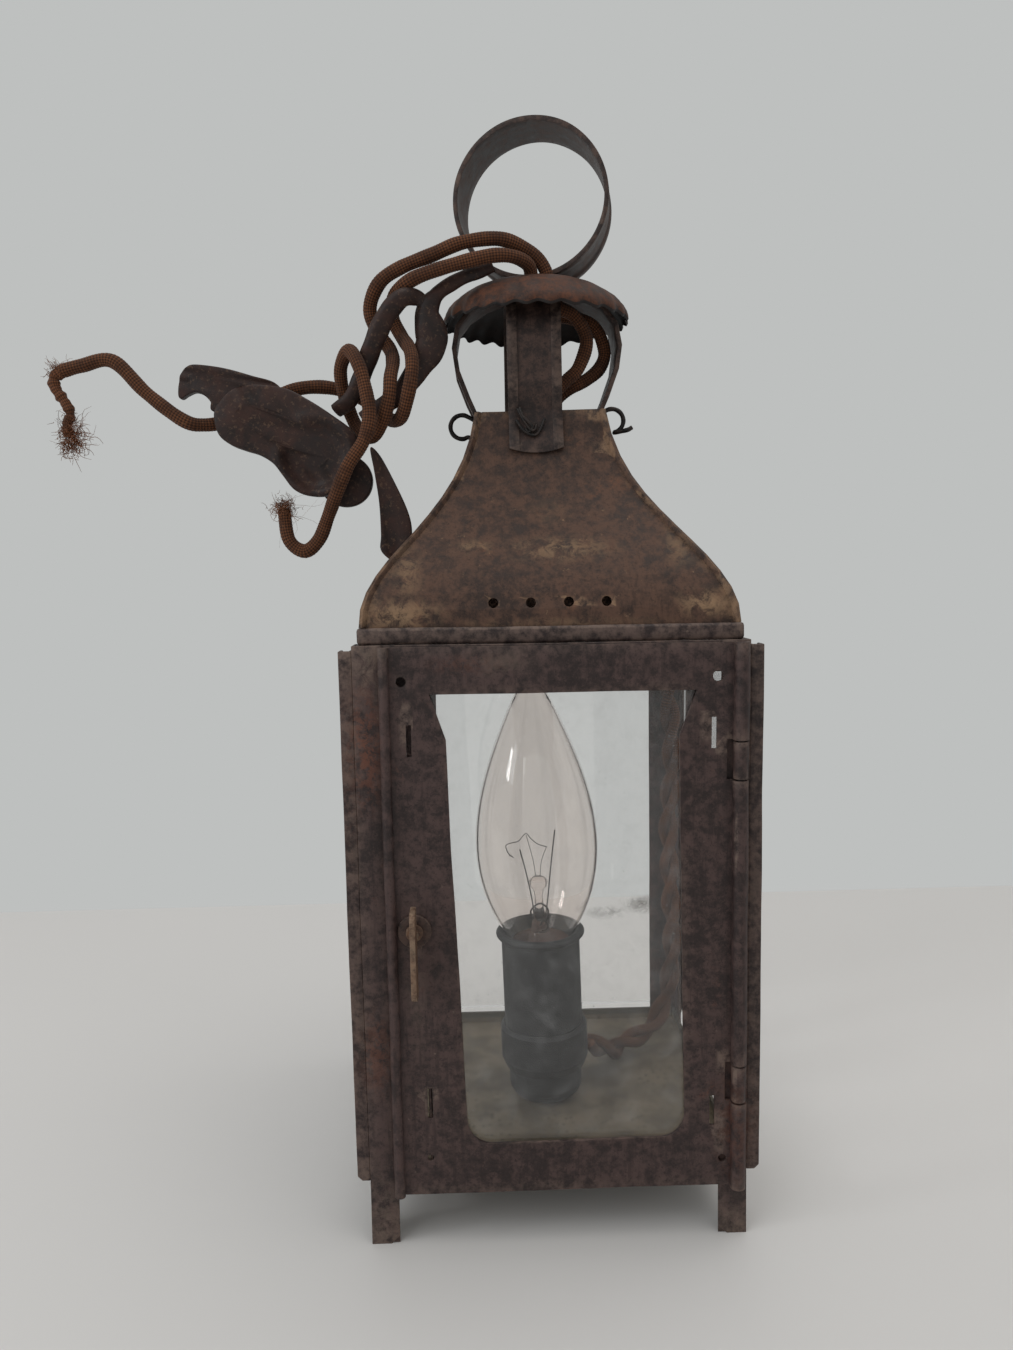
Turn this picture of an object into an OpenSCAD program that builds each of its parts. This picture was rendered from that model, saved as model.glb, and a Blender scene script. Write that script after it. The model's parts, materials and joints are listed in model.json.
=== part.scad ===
// Square tinplate candle lantern with a hinged glazed door, converted to an electric candle lamp.
// Millimetres, +Z up, front at -Y. The origin is the centre of the footprint, on the standing plane.

/* [Body] */
// Outside width of the square body, over the corner posts
body_w = 94; // [90:1:98]
// Height of the top of the posts
body_top = 150; // [148:1:152]
// Height of the door's lower edge, and so of the feet below it
foot_h = 14; // [13:0.5:15]
// Thickness of the tinplate
sheet = 0.8; // [0.7:0.05:0.9]
// Leg width of the folded corner posts
post_leg = 7; // [6.5:0.5:7.5]
// Leg width of the two rear corner posts
rear_leg = 9; // [8:0.5:9.5]
// Thickness of the window glass
glass_t = 1.4; // [1.2:0.1:1.4]

/* [Roof and crown] */
// Half width of the neck at the top of the roof
neck_half = 16; // [15.7:0.1:16.2]
// Height of the top of the neck
neck_top = 208; // [207:0.5:209]
// Radius of the crimped smoke cap
cap_r = 25.2; // [24.8:0.1:25.6]
// Height of the cap's flat top
cap_top = 243; // [243:0.5:244]
// Number of crimps round the cap's rim
crimps = 26; // [22:1:30]
// Outer radius of the carrying ring
ring_r = 20.5; // [20:0.1:21]
// Width of the ribbed strip that the ring is bent from
ring_w = 15; // [14:0.5:15]
// Angle at which the ring stands on its rivet
ring_turn = -10; // [-12:1:-8]
// Width of the chimney stirrups
stirrup_w = 14; // [13:0.5:14]

/* [Door] */
// Radius of the hinge wire
hinge_wire_r = 1; // [0.9:0.05:1.1]
// Height of the latch spindle
latch_z = 81.5; // [79:0.5:84]

/* [Lamp] */
// Radius of the bulb at its widest
bulb_r = 17.5; // [17:0.1:17.5]
// Height of the tip of the bulb
bulb_tip = 139.5; // [138:0.5:140]
// Outside radius of the candle sleeve
sleeve_r = 11.3; // [11:0.1:11.5]
// Angle at which the lamp holder leans to the left
lamp_lean = 1.3; // [0:0.1:1.5]
// Diameter of each braided cord
cord_d = 3.6; // [3.2:0.1:3.6]

/* [Hidden] */
$fn = 48;

// Body
half = body_w / 2;
inner_half = half - sheet;
floor_z = foot_h - 1.2;
pan_rim_z = foot_h + 3;
head_z = body_top - 7.5;
eave_h = 4;
eave_half = half - 1.2;
skirt_half = half - 2.7;
channel_d = glass_t + 0.2 + 2 * sheet;
channel_w = 6;
channel_corner = half - 0.2;
channel_z0 = foot_h + 3;
channel_z1 = body_top - 1.2;
pane_gap = 0.1;

// Roof
seam_t = 1.2;
seam_proud = 0.9;
roof_steps = 12;
roof_foot = body_top + eave_h;
roof_rise = neck_top - roof_foot;
vent_r = 1.2;
vent_pitch = 9;
vent_z = roof_foot + 5.5;

// Crown
cap_skirt_r = cap_r - 0.7;
// Upper face of the domed cap, as radius and depth below its flat top
cap_dome = [[0, 0], [12, 0], [14.8, 0.5], [18, 1.9], [21.5, 4.2], [cap_skirt_r, 7.6]];
cap_rim_z = cap_top - 7.6;
cap_skirt_z0 = cap_rim_z - 2;
crimp_depth = 0.6;
rivet_r = 1.2;
rivet_fit = 0.05;
stirrup_rib_w = 2.6;
stirrup_rib_t = 0.4;
stirrup_top = cap_top - 1.5 * sheet - stirrup_rib_t;
stirrup_low = stirrup_top - sheet - stirrup_rib_t;
rib_t = 0.4;
ring_z = cap_top + 0.1 + ring_r;
cord_holes = [[-1.6, -12], [2.5, -11]];
strap_shift = 1.3;
strap_gap = 0.03;
cord_hole_r = cord_d / 2 + 0.15;

// Door
door_back = -half - 0.4;
door_front = door_back - sheet;
door_z0 = foot_h;
door_z1 = body_top - 0.4;
hinge_fit = 0.05;
roll_bore = hinge_wire_r + hinge_fit;
roll_r = roll_bore + sheet;
hinge_x = half - 2.8;
hinge_y = door_back - roll_r - 0.05;
ridge_r = 1.3;
ridge_x = -half + 7.5;
knuckle_h = 9;
knuckle_z = [121.5, 41];
knuckle_gap = 0.4;
knuckle_notch = 3;
window_top = 138.4;
window_bottom = 26.7;
window_round = 6;
window_left = -22.6;
window_right = 31.2;
window_left_top = -25.4;
window_right_top = 29.9;
window_chamfer = 10.8;
door_glass_x = [-31, 35.1];
door_glass_z = [22, 141];
door_channel_w = 4;
// Pierced holes as centre and radius, and the centres of the vent slots
pin_holes = [[-35.6, 141.5, 1.2], [38.9, 141.7, 1.3], [40.6, 21, 1], [-31.8, 23.5, 0.8]];
vent_slots = [[-34.1, 127.5], [38.1, 128], [-31.5, 37.6], [38, 33.5]];
slot_half = [0.62, 3.8];
door_channel_back = door_back + glass_t + 0.2 + sheet;
latch_x = -34;
latch_r = 1.2;
latch_bore = latch_r + 0.05;
washer_r = 4.1;
blade_back = door_front - 2.3;

// Lamp
sleeve_wall = 1.2;
sleeve_z0 = 35.5;
sleeve_z1 = 63.5;
sleeve_rim_r = sleeve_r + 1.3;
collar_z0 = 23.1;
collar_r = 12.6;
base_r = 10;
floor_top = floor_z + sheet;
lamp_x = -0.4;
lamp_lift = 0.2;
cap_shell_r = 6.9;
cap_shell_z0 = 43;
glass_z0 = 58;
bulb_wide_z = 88;
bulb_wall = 0.7;
screw_r = 1.6;

// Cords: the routes, as points chosen by hand
cord_sides = 8;
pair_d = 6.4;
pair_route = [
  [11.8, 2, 27.5], [16, 5, 24], [20, 9.5, 20.5], [27, 18, 19.5], [34, 22, 21], [38.6, 24.6, 28],
  [41, 25, 38], [41.6, 25, 50], [41, 25, 68], [40.5, 25, 88], [41.6, 25, 107], [40.6, 25, 126],
  [39, 27, 136], [35, 26, 150], [30, 21, 164], [22.5, 12, 176], [13.5, 2, 187], [8, -4, 196],
  [3.8, -6.6, 202], [3.4, -6.8, 204]
];
upper_route = [
  [2.2, -9.2, 204.4], [2.4, -9.4, 209], [4.4, -9, 213.4], [7.6, -7.8, 216.8], [11, -6.8, 220.4],
  [13.2, -6.4, 227.6], [9.8, -8.4, 233.2], [5.4, -10, 235.2], [2.8, -11, 237.9],
  [2.5, -11, 243.4], [-0.2, -11.7, 247.4], [-5.6, -13.6, 250.2], [-11, -15.4, 251],
  [-19.5, -16.2, 249.8], [-27, -16, 247], [-35, -16, 244], [-40.5, -15.5, 240.5], [-43.4, -13, 235],
  [-42, -12.2, 229.5], [-38.6, -12.6, 224.5], [-37.6, -17, 220.5], [-38, -21, 216], [-38.5, -21.5, 211],
  [-40.6, -19, 205.4], [-44, -15, 202], [-48, -11, 205], [-51, -11, 213], [-51.4, -14, 219.5],
  [-48.6, -18, 223.2], [-45.8, -22, 219], [-44, -23, 212], [-43.4, -23.4, 206], [-45, -24, 200],
  [-49, -24.5, 194], [-52, -23.4, 188], [-55, -20, 182], [-58, -18, 176], [-62, -17, 173], [-66, -17, 176],
  [-67, -17, 184]
];
lower_route = [
  [3.4, -4.2, 204.4], [3.4, -4.2, 208.6], [5, -4.2, 212.4], [8.8, -3.6, 215.4], [13.6, -2, 218],
  [17.4, -0.6, 221.4], [18.7, 0, 226], [15.8, -1.4, 232], [9, -3.6, 234], [2.2, -6.6, 234.4],
  [-1.2, -10.4, 236.2], [-1.6, -12, 239.5], [-1.6, -12, 243], [-2.6, -13.8, 245.1], [-6.2, -17, 246],
  [-11, -18.4, 246],
  [-18, -18.8, 244.6], [-27, -18.8, 242.2], [-33, -17.6, 240.1], [-37, -14, 237.4], [-37.6, -11.8, 232.5],
  [-35.4, -12.6, 227.6], [-33, -19, 223], [-32.4, -22.2, 218], [-33.5, -22, 212], [-36, -18, 206.4],
  [-40, -10, 207.4], [-46, -7, 212.5], [-53, -7.5, 215.5], [-60, -9, 216], [-67, -9.5, 214.5],
  [-75, -9.5, 210.5], [-81, -11, 207.5], [-87, -14, 206], [-92, -16, 207], [-101, -16, 214], [-109, -16, 222],
  [-117, -16, 221], [-123, -16, 219.5]
];
long_strap_d = 4.6;
short_strap_d = 3.8;
long_strap_route = [
  [-11.5, -14.6, 244.4], [-14.5, -14.8, 243.2], [-18, -14.8, 242.2], [-22, -14.6, 240.4],
  [-26, -15.6, 237.4], [-28.5, -16, 233],
  [-27.6, -16, 226], [-30.5, -16.5, 220], [-36, -16.5, 213], [-41, -16.5, 209.5],
  [-46, -16, 206.5]
];
short_strap_route = [
  [-31.4, -17.4, 236.4], [-34.8, -20, 235.4], [-39, -19.4, 231], [-42.6, -18.4, 224], [-46, -16.5, 216.5],
  [-49, -16, 211.4], [-53, -14, 209]
];
pad_t = 4.6;
pad_y = -20.6;

function bezier(p, t) =
  let (u = 1 - t) u * u * u * p[0] + 3 * u * u * t * p[1] + 3 * u * t * t * p[2] + t * t * t * p[3];
function flip(list) = [for (i = [len(list) - 1:-1:0]) list[i]];
function unit(v) = v / norm(v);
function arc(cx, cy, r, a0, a1, n) =
  [for (i = [0:n]) let (a = a0 + (a1 - a0) * i / n) [cx + r * cos(a), cy + r * sin(a)]];
// Direction of a path at point i, from its neighbours
function heading(path, i) = unit(path[min(i + 1, len(path) - 1)] - path[max(i - 1, 0)]);
// A path in the plane, moved sideways by d
function beside(path, d) =
  [for (i = [0:len(path) - 1]) let (h = heading(path, i)) path[i] + d * [-h[1], h[0]]];

// The roof's outer face as half width and height: an ogee, steep at the eave and at the neck
roof_bend = [
  [skirt_half, roof_foot], [skirt_half + 0.2, roof_foot + 0.315 * roof_rise],
  [neck_half + 3.5, roof_foot + 0.472 * roof_rise], [neck_half, neck_top]
];
roof_outer = concat([[skirt_half, body_top]], [for (i = [0:roof_steps]) bezier(roof_bend, i / roof_steps)]);
roof_inner = beside(roof_outer, sheet);

// A tube along a route, with its rings square to the route
function side_axis(d) = unit(cross(d, abs(d[1]) > 0.9 ? [1, 0, 0] : [0, 1, 0]));
function tube_ring(p, d, r, n) =
  let (u = side_axis(d), v = cross(d, u), turn = 360 / n)
  [for (k = [0:n - 1]) p + r * (cos(turn * k) * u + sin(turn * k) * v)];
module tube(route, d, n = cord_sides) {
  last = len(route) - 1;
  points = [for (i = [0:last]) each tube_ring(route[i], heading(route, i), d / 2, n)];
  walls = [
    for (i = [0:last - 1], k = [0:n - 1])
      let (a = i * n + k, b = i * n + (k + 1) % n) each [[a, a + n, b + n], [a, b + n, b]]
  ];
  ends = [[for (k = [0:n - 1]) k], [for (k = [n - 1:-1:0]) last * n + k]];
  polyhedron(points, concat(ends, walls));
}

// Draws a child given in the XZ plane as a plate from y0 to y1
module plate(y0, y1) translate([0, y1, 0]) rotate([90, 0, 0]) linear_extrude(y1 - y0) children();
module box(x, y, z) translate([x[0], y[0], z[0]]) cube([x[1] - x[0], y[1] - y[0], z[1] - z[0]]);

// Folded angle strip at the front right, running down into a foot with a clipped inner corner
module corner_post(angle, leg) {
  clip = 3;
  color("#463a36") rotate(angle) difference() {
    linear_extrude(body_top) polygon([
      [half - leg, -half], [half, -half], [half, -half + leg], [inner_half, -half + leg],
      [inner_half, -inner_half], [half - leg, -inner_half]
    ]);
    translate([half - leg, -half - 1, 0]) rotate([0, 45, 0]) cube([clip, 3, clip], center = true);
    translate([half + 1, -half + leg, 0]) rotate([45, 0, 0]) cube([3, clip, clip], center = true);
  }
}

// Floor with a turned-up rim, soldered between the posts
module base_pan() {
  hollow = [sheet - inner_half, inner_half - sheet];
  color("#8f8a72") difference() {
    box([-inner_half, inner_half], [-inner_half, inner_half], [floor_z, pan_rim_z]);
    box(hollow, hollow, [floor_top, pan_rim_z + 1]);
    translate([lamp_x, 0, floor_z - 1]) cylinder(r = screw_r + rivet_fit, h = 3);
  }
}

module square_band(outer, wall, z0, z1) difference() {
  box([-outer, outer], [-outer, outer], [z0, z1]);
  box([wall - outer, outer - wall], [wall - outer, outer - wall], [z0 - 1, z1 + 1]);
}

module head_band() color("#463a36") square_band(inner_half, sheet, head_z, body_top);
module eave_band() color("#4d3d35") square_band(eave_half, eave_half - skirt_half, body_top, roof_foot);

// Folded channel on a side wall, drawn on the right wall at its front edge, with a closed lower end
module glass_channel(angle, edge) {
  face = half + channel_d;
  front = -channel_corner;
  lip = channel_w - 2 - channel_corner;
  color("#3c3331") rotate(angle) mirror([0, edge, 0]) difference() {
    union() {
      translate([0, 0, channel_z0]) linear_extrude(channel_z1 - channel_z0) polygon([
        [half, front], [face, front], [face, lip], [face - sheet, lip], [face - sheet, front + sheet],
        [half + sheet, front + sheet], [half + sheet, lip + 2], [half, lip + 2]
      ]);
      box([half, face], [front, lip], [channel_z0, channel_z0 + sheet]);
    }
    translate([face, 0, channel_z0]) rotate([0, 45, 0]) cube([1.6, 3 * half, 1.6], center = true);
  }
}

module glass_pane(angle) {
  reach = channel_corner - sheet - 0.1;
  x0 = half + sheet + pane_gap;
  color([0.8, 0.85, 0.85, 0.35]) rotate(angle)
    box([x0, x0 + glass_t], [-reach, reach], [channel_z0 + sheet + 0.1, channel_z1 - 1]);
}

// One ogee gore, facing the front before it is turned, mitred to its neighbours, with a row of vents
module roof_gore(angle) {
  mitre = seam_t / 2 * sqrt(2);
  section = concat([for (p = roof_outer) [-p[0], p[1]]], [for (p = flip(roof_inner)) [-p[0], p[1]]]);
  color("#5c483c") rotate(angle) difference() {
    intersection() {
      rotate([90, 0, 90]) linear_extrude(2 * body_w, center = true) polygon(section);
      translate([0, 0, body_top - 1]) linear_extrude(neck_top - body_top + 2)
        polygon([[0, -mitre], [-body_w, -body_w - mitre], [body_w, -body_w - mitre]]);
    }
    for (i = [-1.5:1:1.5])
      translate([i * vent_pitch, -half, vent_z]) rotate([90, 0, 0])
        cylinder(r = vent_r, h = 14, center = true);
  }
}

// Folded seam that joins two gores, standing a little proud of the corner
module roof_seam(angle) {
  corner = [for (p = roof_outer) [p[0] * sqrt(2), p[1]]];
  outer = [for (p = beside(corner, -seam_proud)) [p[0], min(p[1], neck_top)]];
  inner = [for (p = roof_inner) [p[0] * sqrt(2), p[1]]];
  color("#6a5444") rotate(angle) intersection() {
    rotate([90, 0, 0]) linear_extrude(seam_t, center = true) polygon(concat(outer, flip(inner)));
    box([0, 2 * body_w], [-seam_t, seam_t], [roof_foot, neck_top]);
  }
}

// A stirrup is one ribbed strip bent over the neck: up one side, flat under the cap and down the other
function stirrup_side(bow) =
  let (on_roof = beside(roof_outer, -sheet / 2 - strap_gap))
  concat([for (i = [roof_steps - 1:roof_steps + 1]) on_roof[i]], bow);
module stirrup(bow, angle, shift, drilled) {
  side = stirrup_side(bow);
  path = concat(side, [for (p = flip(side)) [-p[0], p[1]]]);
  rib_path = beside(path, -stirrup_rib_t / 2);
  tip_r = 20;
  color("#4a3b36") rotate(angle) difference() {
    translate([0, shift, 0]) intersection() {
      rotate([90, 0, 0]) union() {
        linear_extrude(stirrup_w, center = true) ribbon(path, sheet);
        for (s = [-1, 1])
          translate([0, 0, s * (stirrup_w - stirrup_rib_w) / 2]) linear_extrude(stirrup_rib_w, center = true)
            ribbon(rib_path, sheet + stirrup_rib_t);
      }
      translate([0, 0, neck_top - 11 + tip_r]) rotate([0, 90, 0]) union() {
        cylinder(r = tip_r, h = body_w, center = true, $fn = 96);
        translate([-body_w / 2, 0, 0]) cube([body_w, body_w, body_w], center = true);
      }
    }
    translate([0, 0, cap_top - 5]) cylinder(r = rivet_r + rivet_fit, h = 6);
    if (drilled) rotate(-angle) cord_passage();
  }
}
module ribbon(path, t) polygon(concat(beside(path, t / 2), flip(beside(path, -t / 2))));
straight_bow = [
  [neck_half + 1.8, neck_top + 6], [neck_half + 1.6, neck_top + 18], [neck_half + 0.4, neck_top + 25],
  [14, stirrup_top - 3.4], [8, stirrup_top]
];
round_bow = [
  [neck_half + 2.6, neck_top + 5], [neck_half + 5.2, neck_top + 12], [neck_half + 6, neck_top + 18],
  [neck_half + 5, neck_top + 23.5], [neck_half + 1.8, stirrup_low - 4.8], [13, stirrup_low - 1.8],
  [8, stirrup_low]
];

// Bent wire through a stirrup and the neck wall, twisted on the outside
module wire_tie(angle) {
  wire_r = 0.6;
  color("#1f1b1a") rotate(angle) union() {
    translate([-2.6, -neck_half - 4.2, neck_top - 3]) rotate([0, 28, 0])
      cylinder(r = wire_r, h = 8, center = true);
    translate([0.4, -neck_half + 1.6, neck_top - 7]) rotate([90, 0, 0])
      cylinder(r = wire_r, h = 6.8);
  }
}

// Ring of wire that hooks through the foot of a side stirrup
module wire_loop(side, z) {
  color("#1f1b1a") translate([side * (neck_half + 4.6), 0, z]) rotate([90, 0, 0])
    rotate_extrude() translate([3.2, 0]) circle(r = 0.65, $fn = 24);
}

// Crimped sheet cap: a flat middle, domed shoulders and a fluted skirt
function crimp_line(r) = [
  for (i = [0:4 * crimps - 1])
    let (a = 90 * i / crimps) (r + crimp_depth / 2 * cos(crimps * a)) * [cos(a), sin(a)]
];
module cord_passage()
  for (p = cord_holes) translate([p[0], p[1], cap_top - 7]) cylinder(r = cord_hole_r, h = 8);
module smoke_cap() {
  upper = [for (p = cap_dome) [p[0], cap_top - p[1]]];
  lower = [for (p = cap_dome) [p[0], cap_top - p[1] - sheet]];
  color("#6e4530") difference() {
    union() {
      rotate_extrude($fn = 96) polygon(concat(upper, flip(lower)));
      translate([0, 0, cap_skirt_z0]) linear_extrude(cap_rim_z - cap_skirt_z0) difference() {
        polygon(crimp_line(cap_r - crimp_depth / 2));
        polygon(crimp_line(cap_r - crimp_depth / 2 - sheet));
      }
    }
    translate([0, 0, cap_top - 2]) cylinder(r = rivet_r + rivet_fit, h = 3);
    cord_passage();
  }
}

module crown_rivet() {
  low = stirrup_low - sheet / 2;
  color("#3a302c") union() {
    translate([0, 0, low - 0.7]) cylinder(r = rivet_r, h = cap_top + 2.4 - low);
    translate([0, 0, low - 0.8]) cylinder(r = 2.6, h = 0.8);
    translate([0, 0, cap_top + 1.7]) cylinder(r = 2.2, h = 0.9);
  }
}

// Carrying ring: a ribbed strip bent round, standing on the cap
module carrying_ring() {
  web_r = ring_r - rib_t;
  side = ring_w / 2;
  color("#4a3d39") rotate(ring_turn) difference() {
    translate([0, 0, ring_z]) rotate([90, 0, 0]) rotate_extrude($fn = 96) polygon([
      [web_r - sheet, -side], [ring_r, -side], [ring_r, 2.4 - side], [web_r, 3 - side],
      [web_r, side - 3], [ring_r, side - 2.4], [ring_r, side], [web_r - sheet, side]
    ]);
    translate([0, 0, cap_top - 1]) cylinder(r = rivet_r + rivet_fit, h = 5);
  }
}

// Hinge
module hinge_wire() {
  color("#2c2624") translate([hinge_x, hinge_y, door_z0 + 0.5])
    cylinder(r = hinge_wire_r, h = door_z1 - door_z0 - 1);
}
module hinge_knuckle(z) {
  r = roll_bore + sheet - 0.1;
  color("#4f4441") difference() {
    union() {
      translate([hinge_x, hinge_y, z - knuckle_h / 2]) cylinder(r = r, h = knuckle_h);
      box([hinge_x - 0.4, hinge_x + r - 0.1], [hinge_y, -half], [z - knuckle_h / 2, z + knuckle_h / 2]);
    }
    translate([hinge_x, hinge_y, z - knuckle_h]) cylinder(r = roll_bore, h = 2 * knuckle_h);
  }
}

// Door
module window_outline() polygon(concat(
  [
    [window_left_top - 3.7, window_top], [window_left_top, window_top - window_chamfer],
    [window_left, window_bottom + window_round]
  ],
  arc(window_left + window_round, window_bottom + window_round, window_round, 190, 270, 5),
  arc(window_right - window_round, window_bottom + window_round, window_round, 270, 350, 5),
  [
    [window_right, window_bottom + window_round], [window_right_top, window_top - window_chamfer],
    [window_right_top + 4, window_top]
  ]
));
module door_slot(x, z)
  translate([x - slot_half[0], door_front - 5, z - slot_half[1]])
    cube([2 * slot_half[0], door_back - door_front + 6, 2 * slot_half[1]]);
module door_hole(x, z, r) translate([x, door_back + 1, z]) rotate([90, 0, 0]) cylinder(r = r, h = 6);
module door_frame() {
  color("#463a38") difference() {
    union() {
      box([ridge_x, hinge_x], [door_front, door_back], [door_z0, door_z1]);
      translate([ridge_x, door_front - 0.6, door_z0]) cylinder(r = ridge_r, h = door_z1 - door_z0);
      translate([hinge_x, hinge_y, door_z0]) cylinder(r = roll_r, h = door_z1 - door_z0);
    }
    plate(door_front - 4, door_back + 1) window_outline();
    translate([hinge_x, hinge_y, door_z0 - 1]) cylinder(r = roll_bore, h = door_z1 - door_z0 + 2);
    for (z = knuckle_z)
      box([hinge_x - knuckle_notch, half + 2], [hinge_y - 4, door_back + 1],
        [z - knuckle_h / 2 - knuckle_gap, z + knuckle_h / 2 + knuckle_gap]);
    for (h = pin_holes) door_hole(h[0], h[1], h[2]);
    door_hole(latch_x, latch_z, latch_bore);
    for (s = vent_slots) door_slot(s[0], s[1]);
  }
}
module door_glass() {
  y0 = door_back + pane_gap;
  color([0.8, 0.85, 0.85, 0.35]) box(door_glass_x, [y0, y0 + glass_t], door_glass_z);
}
// Folded strip behind a stile, with its lip towards the window
module door_glass_channel(x, side) {
  web_x = -pane_gap - sheet;
  lip_y = door_channel_back - sheet;
  color("#3c3331") translate([x, 0, door_glass_z[0] - 1]) mirror([side, 0, 0])
    linear_extrude(door_glass_z[1] - door_glass_z[0] + 1.5) polygon([
    [web_x, door_back], [-pane_gap, door_back], [-pane_gap, lip_y], [door_channel_w - 0.6, lip_y],
    [door_channel_w - 0.6, door_channel_back], [web_x, door_channel_back]
  ]);
}
module door_glass_sill() {
  sill_z = [door_glass_z[0] - 1, door_glass_z[0] - 0.2];
  color("#3c3331") box([window_left, window_right], [door_back, door_channel_back], sill_z);
}

// Latch: a thumb turn on a spindle, and a tongue that hangs behind the stile until it is turned
module latch_washer() {
  color("#3e3431") difference() {
    translate([latch_x, door_front, latch_z]) rotate([90, 0, 0]) cylinder(r = washer_r, h = 0.8);
    door_hole(latch_x, latch_z, latch_bore);
  }
}
module latch_turn() {
  blade_t = 1.3;
  color("#6b4a35") union() {
    translate([latch_x, door_channel_back, latch_z]) rotate([90, 0, 0])
      cylinder(r = latch_r, h = door_channel_back - blade_back + 1);
    translate([latch_x, door_front - 1, latch_z]) rotate([90, 0, 0]) cylinder(r = 2, h = 1);
    translate([latch_x - blade_t / 2, 0, latch_z]) rotate([90, 0, 90]) linear_extrude(blade_t) polygon(concat(
      [[blade_back, -15], [blade_back, 6.8]],
      arc(blade_back - 3, 4, 2.8, 90, 180, 5),
      arc(blade_back - 3.4, -12.6, 2.4, 180, 270, 5)
    ));
  }
}
module latch_tongue() {
  y0 = -inner_half + 0.4;
  color("#3e3431") difference() {
    union() {
      translate([latch_x, y0 + sheet, latch_z]) rotate([90, 0, 0]) cylinder(r = 1.8, h = sheet);
      box([latch_x - 1.4, latch_x + 1.4], [y0, y0 + sheet], [latch_z - 10, latch_z]);
    }
    translate([latch_x, y0 + 2, latch_z]) rotate([90, 0, 0]) cylinder(r = latch_r, h = 4);
  }
}

// Lamp holder, which leans a little to the left about the middle of its foot
module lean()
  translate([lamp_x, 0, floor_top + lamp_lift]) rotate([0, -lamp_lean, 0]) translate([0, 0, -floor_top])
    children();
module holder_base() {
  color("#34383a") difference() {
    rotate_extrude($fn = 64) polygon(concat(
      [[0, floor_top]], arc(base_r - 3.5, floor_top + 4, 4, -90, 0, 5),
      [
        [base_r + 0.5, collar_z0], [base_r + 0.5, sleeve_z0], [base_r, sleeve_z0], [base_r, cap_shell_z0 - 4],
        [0, cap_shell_z0 - 4]
      ]
    ));
    translate([0, 0, floor_top - 1]) cylinder(r = screw_r, h = 7);
  }
}
module holder_collar() {
  color("#303436") difference() {
    rotate_extrude($fn = 64) polygon([
      [base_r + 0.5, collar_z0], [collar_r - 1, collar_z0], [collar_r, collar_z0 + 2.5],
      [collar_r, sleeve_z0 - 1], [collar_r - 0.8, sleeve_z0], [base_r + 0.5, sleeve_z0]
    ]);
    translate([base_r, 2, 27]) rotate([0, 90, 0]) cylinder(r = pair_d / 2 + 0.15, h = 6);
  }
}
module candle_sleeve() {
  color("#34383a") rotate_extrude($fn = 64) polygon(concat(
    [[sleeve_r - sleeve_wall, sleeve_z0], [sleeve_r, sleeve_z0], [sleeve_r, sleeve_z1 - 3]],
    arc(sleeve_rim_r - 0.9, sleeve_z1 - 1.2, 1.1, -50, 100, 6),
    [[sleeve_r - sleeve_wall + 0.4, sleeve_z1 - 0.6], [sleeve_r - sleeve_wall, sleeve_z1 - 2.5]]
  ));
}
module socket_insert() {
  color("#8c8468") difference() {
    translate([0, 0, cap_shell_z0 - 4]) cylinder(r = cap_shell_r + 1, h = 19, $fn = 64);
    translate([0, 0, cap_shell_z0 - 3]) cylinder(r = cap_shell_r + 0.25, h = 30, $fn = 64);
  }
}
module holder_screw() {
  color("#5a5248") union() {
    translate([0, 0, floor_z - 1.5]) cylinder(r = 3, h = 1.2);
    translate([0, 0, floor_z - 0.6]) cylinder(r = screw_r, h = 6);
  }
}

// Bulb: the glass outline runs up from the cap to the widest point and then in to the tip
bulb_swell = [[7, glass_z0], [9.6, glass_z0 + 3.2], [bulb_r, bulb_wide_z - 16], [bulb_r, bulb_wide_z]];
bulb_taper = [[bulb_r, bulb_wide_z], [bulb_r, bulb_wide_z + 20], [7, bulb_tip - 13.5], [2.2, bulb_tip - 1.5]];
bulb_outer = concat(
  [for (i = [0:6]) bezier(bulb_swell, i / 6)], [for (i = [1:9]) bezier(bulb_taper, i / 9)],
  [[1.2, bulb_tip - 0.4], [0, bulb_tip]]
);
module bulb_glass() {
  inner = [for (p = beside(bulb_outer, bulb_wall)) [max(p[0], 0), p[1]]];
  color([0.75, 0.72, 0.7, 0.3]) rotate_extrude($fn = 64) polygon(concat(
    bulb_outer, [[0, bulb_tip - 2 * bulb_wall]], flip([for (i = [0:len(inner) - 3]) inner[i]])
  ));
}
module bulb_cap() {
  color("#b39b5e") union() {
    translate([0, 0, cap_shell_z0]) cylinder(r = cap_shell_r, h = glass_z0 - cap_shell_z0, $fn = 64);
    translate([0, 0, cap_shell_z0 - 1.4]) cylinder(r1 = 2.6, r2 = 5, h = 1.4);
  }
}
stem_top = glass_z0 + 20.8;
module bulb_stem() {
  color([0.8, 0.85, 0.85, 0.4]) rotate_extrude() polygon([
    [0, glass_z0], [5, glass_z0], [3, glass_z0 + 3.5], [2.2, glass_z0 + 6], [1.3, glass_z0 + 12],
    [1.3, glass_z0 + 15], [2.6, glass_z0 + 18], [2.6, glass_z0 + 19.5], [1.2, stem_top], [0, stem_top]
  ]);
}
module wire_between(a, b, r) {
  v = b - a;
  translate(a) rotate([0, acos(v[2] / norm(v)), atan2(v[1], v[0])]) cylinder(r = r, h = norm(v), $fn = 16);
}
module bulb_leads() {
  color("#55504c") for (s = [-1, 1])
    wire_between([s * 0.9, 0, stem_top + 0.05], [s * 5.2, 0, stem_top + 11], 0.3);
}

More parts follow.
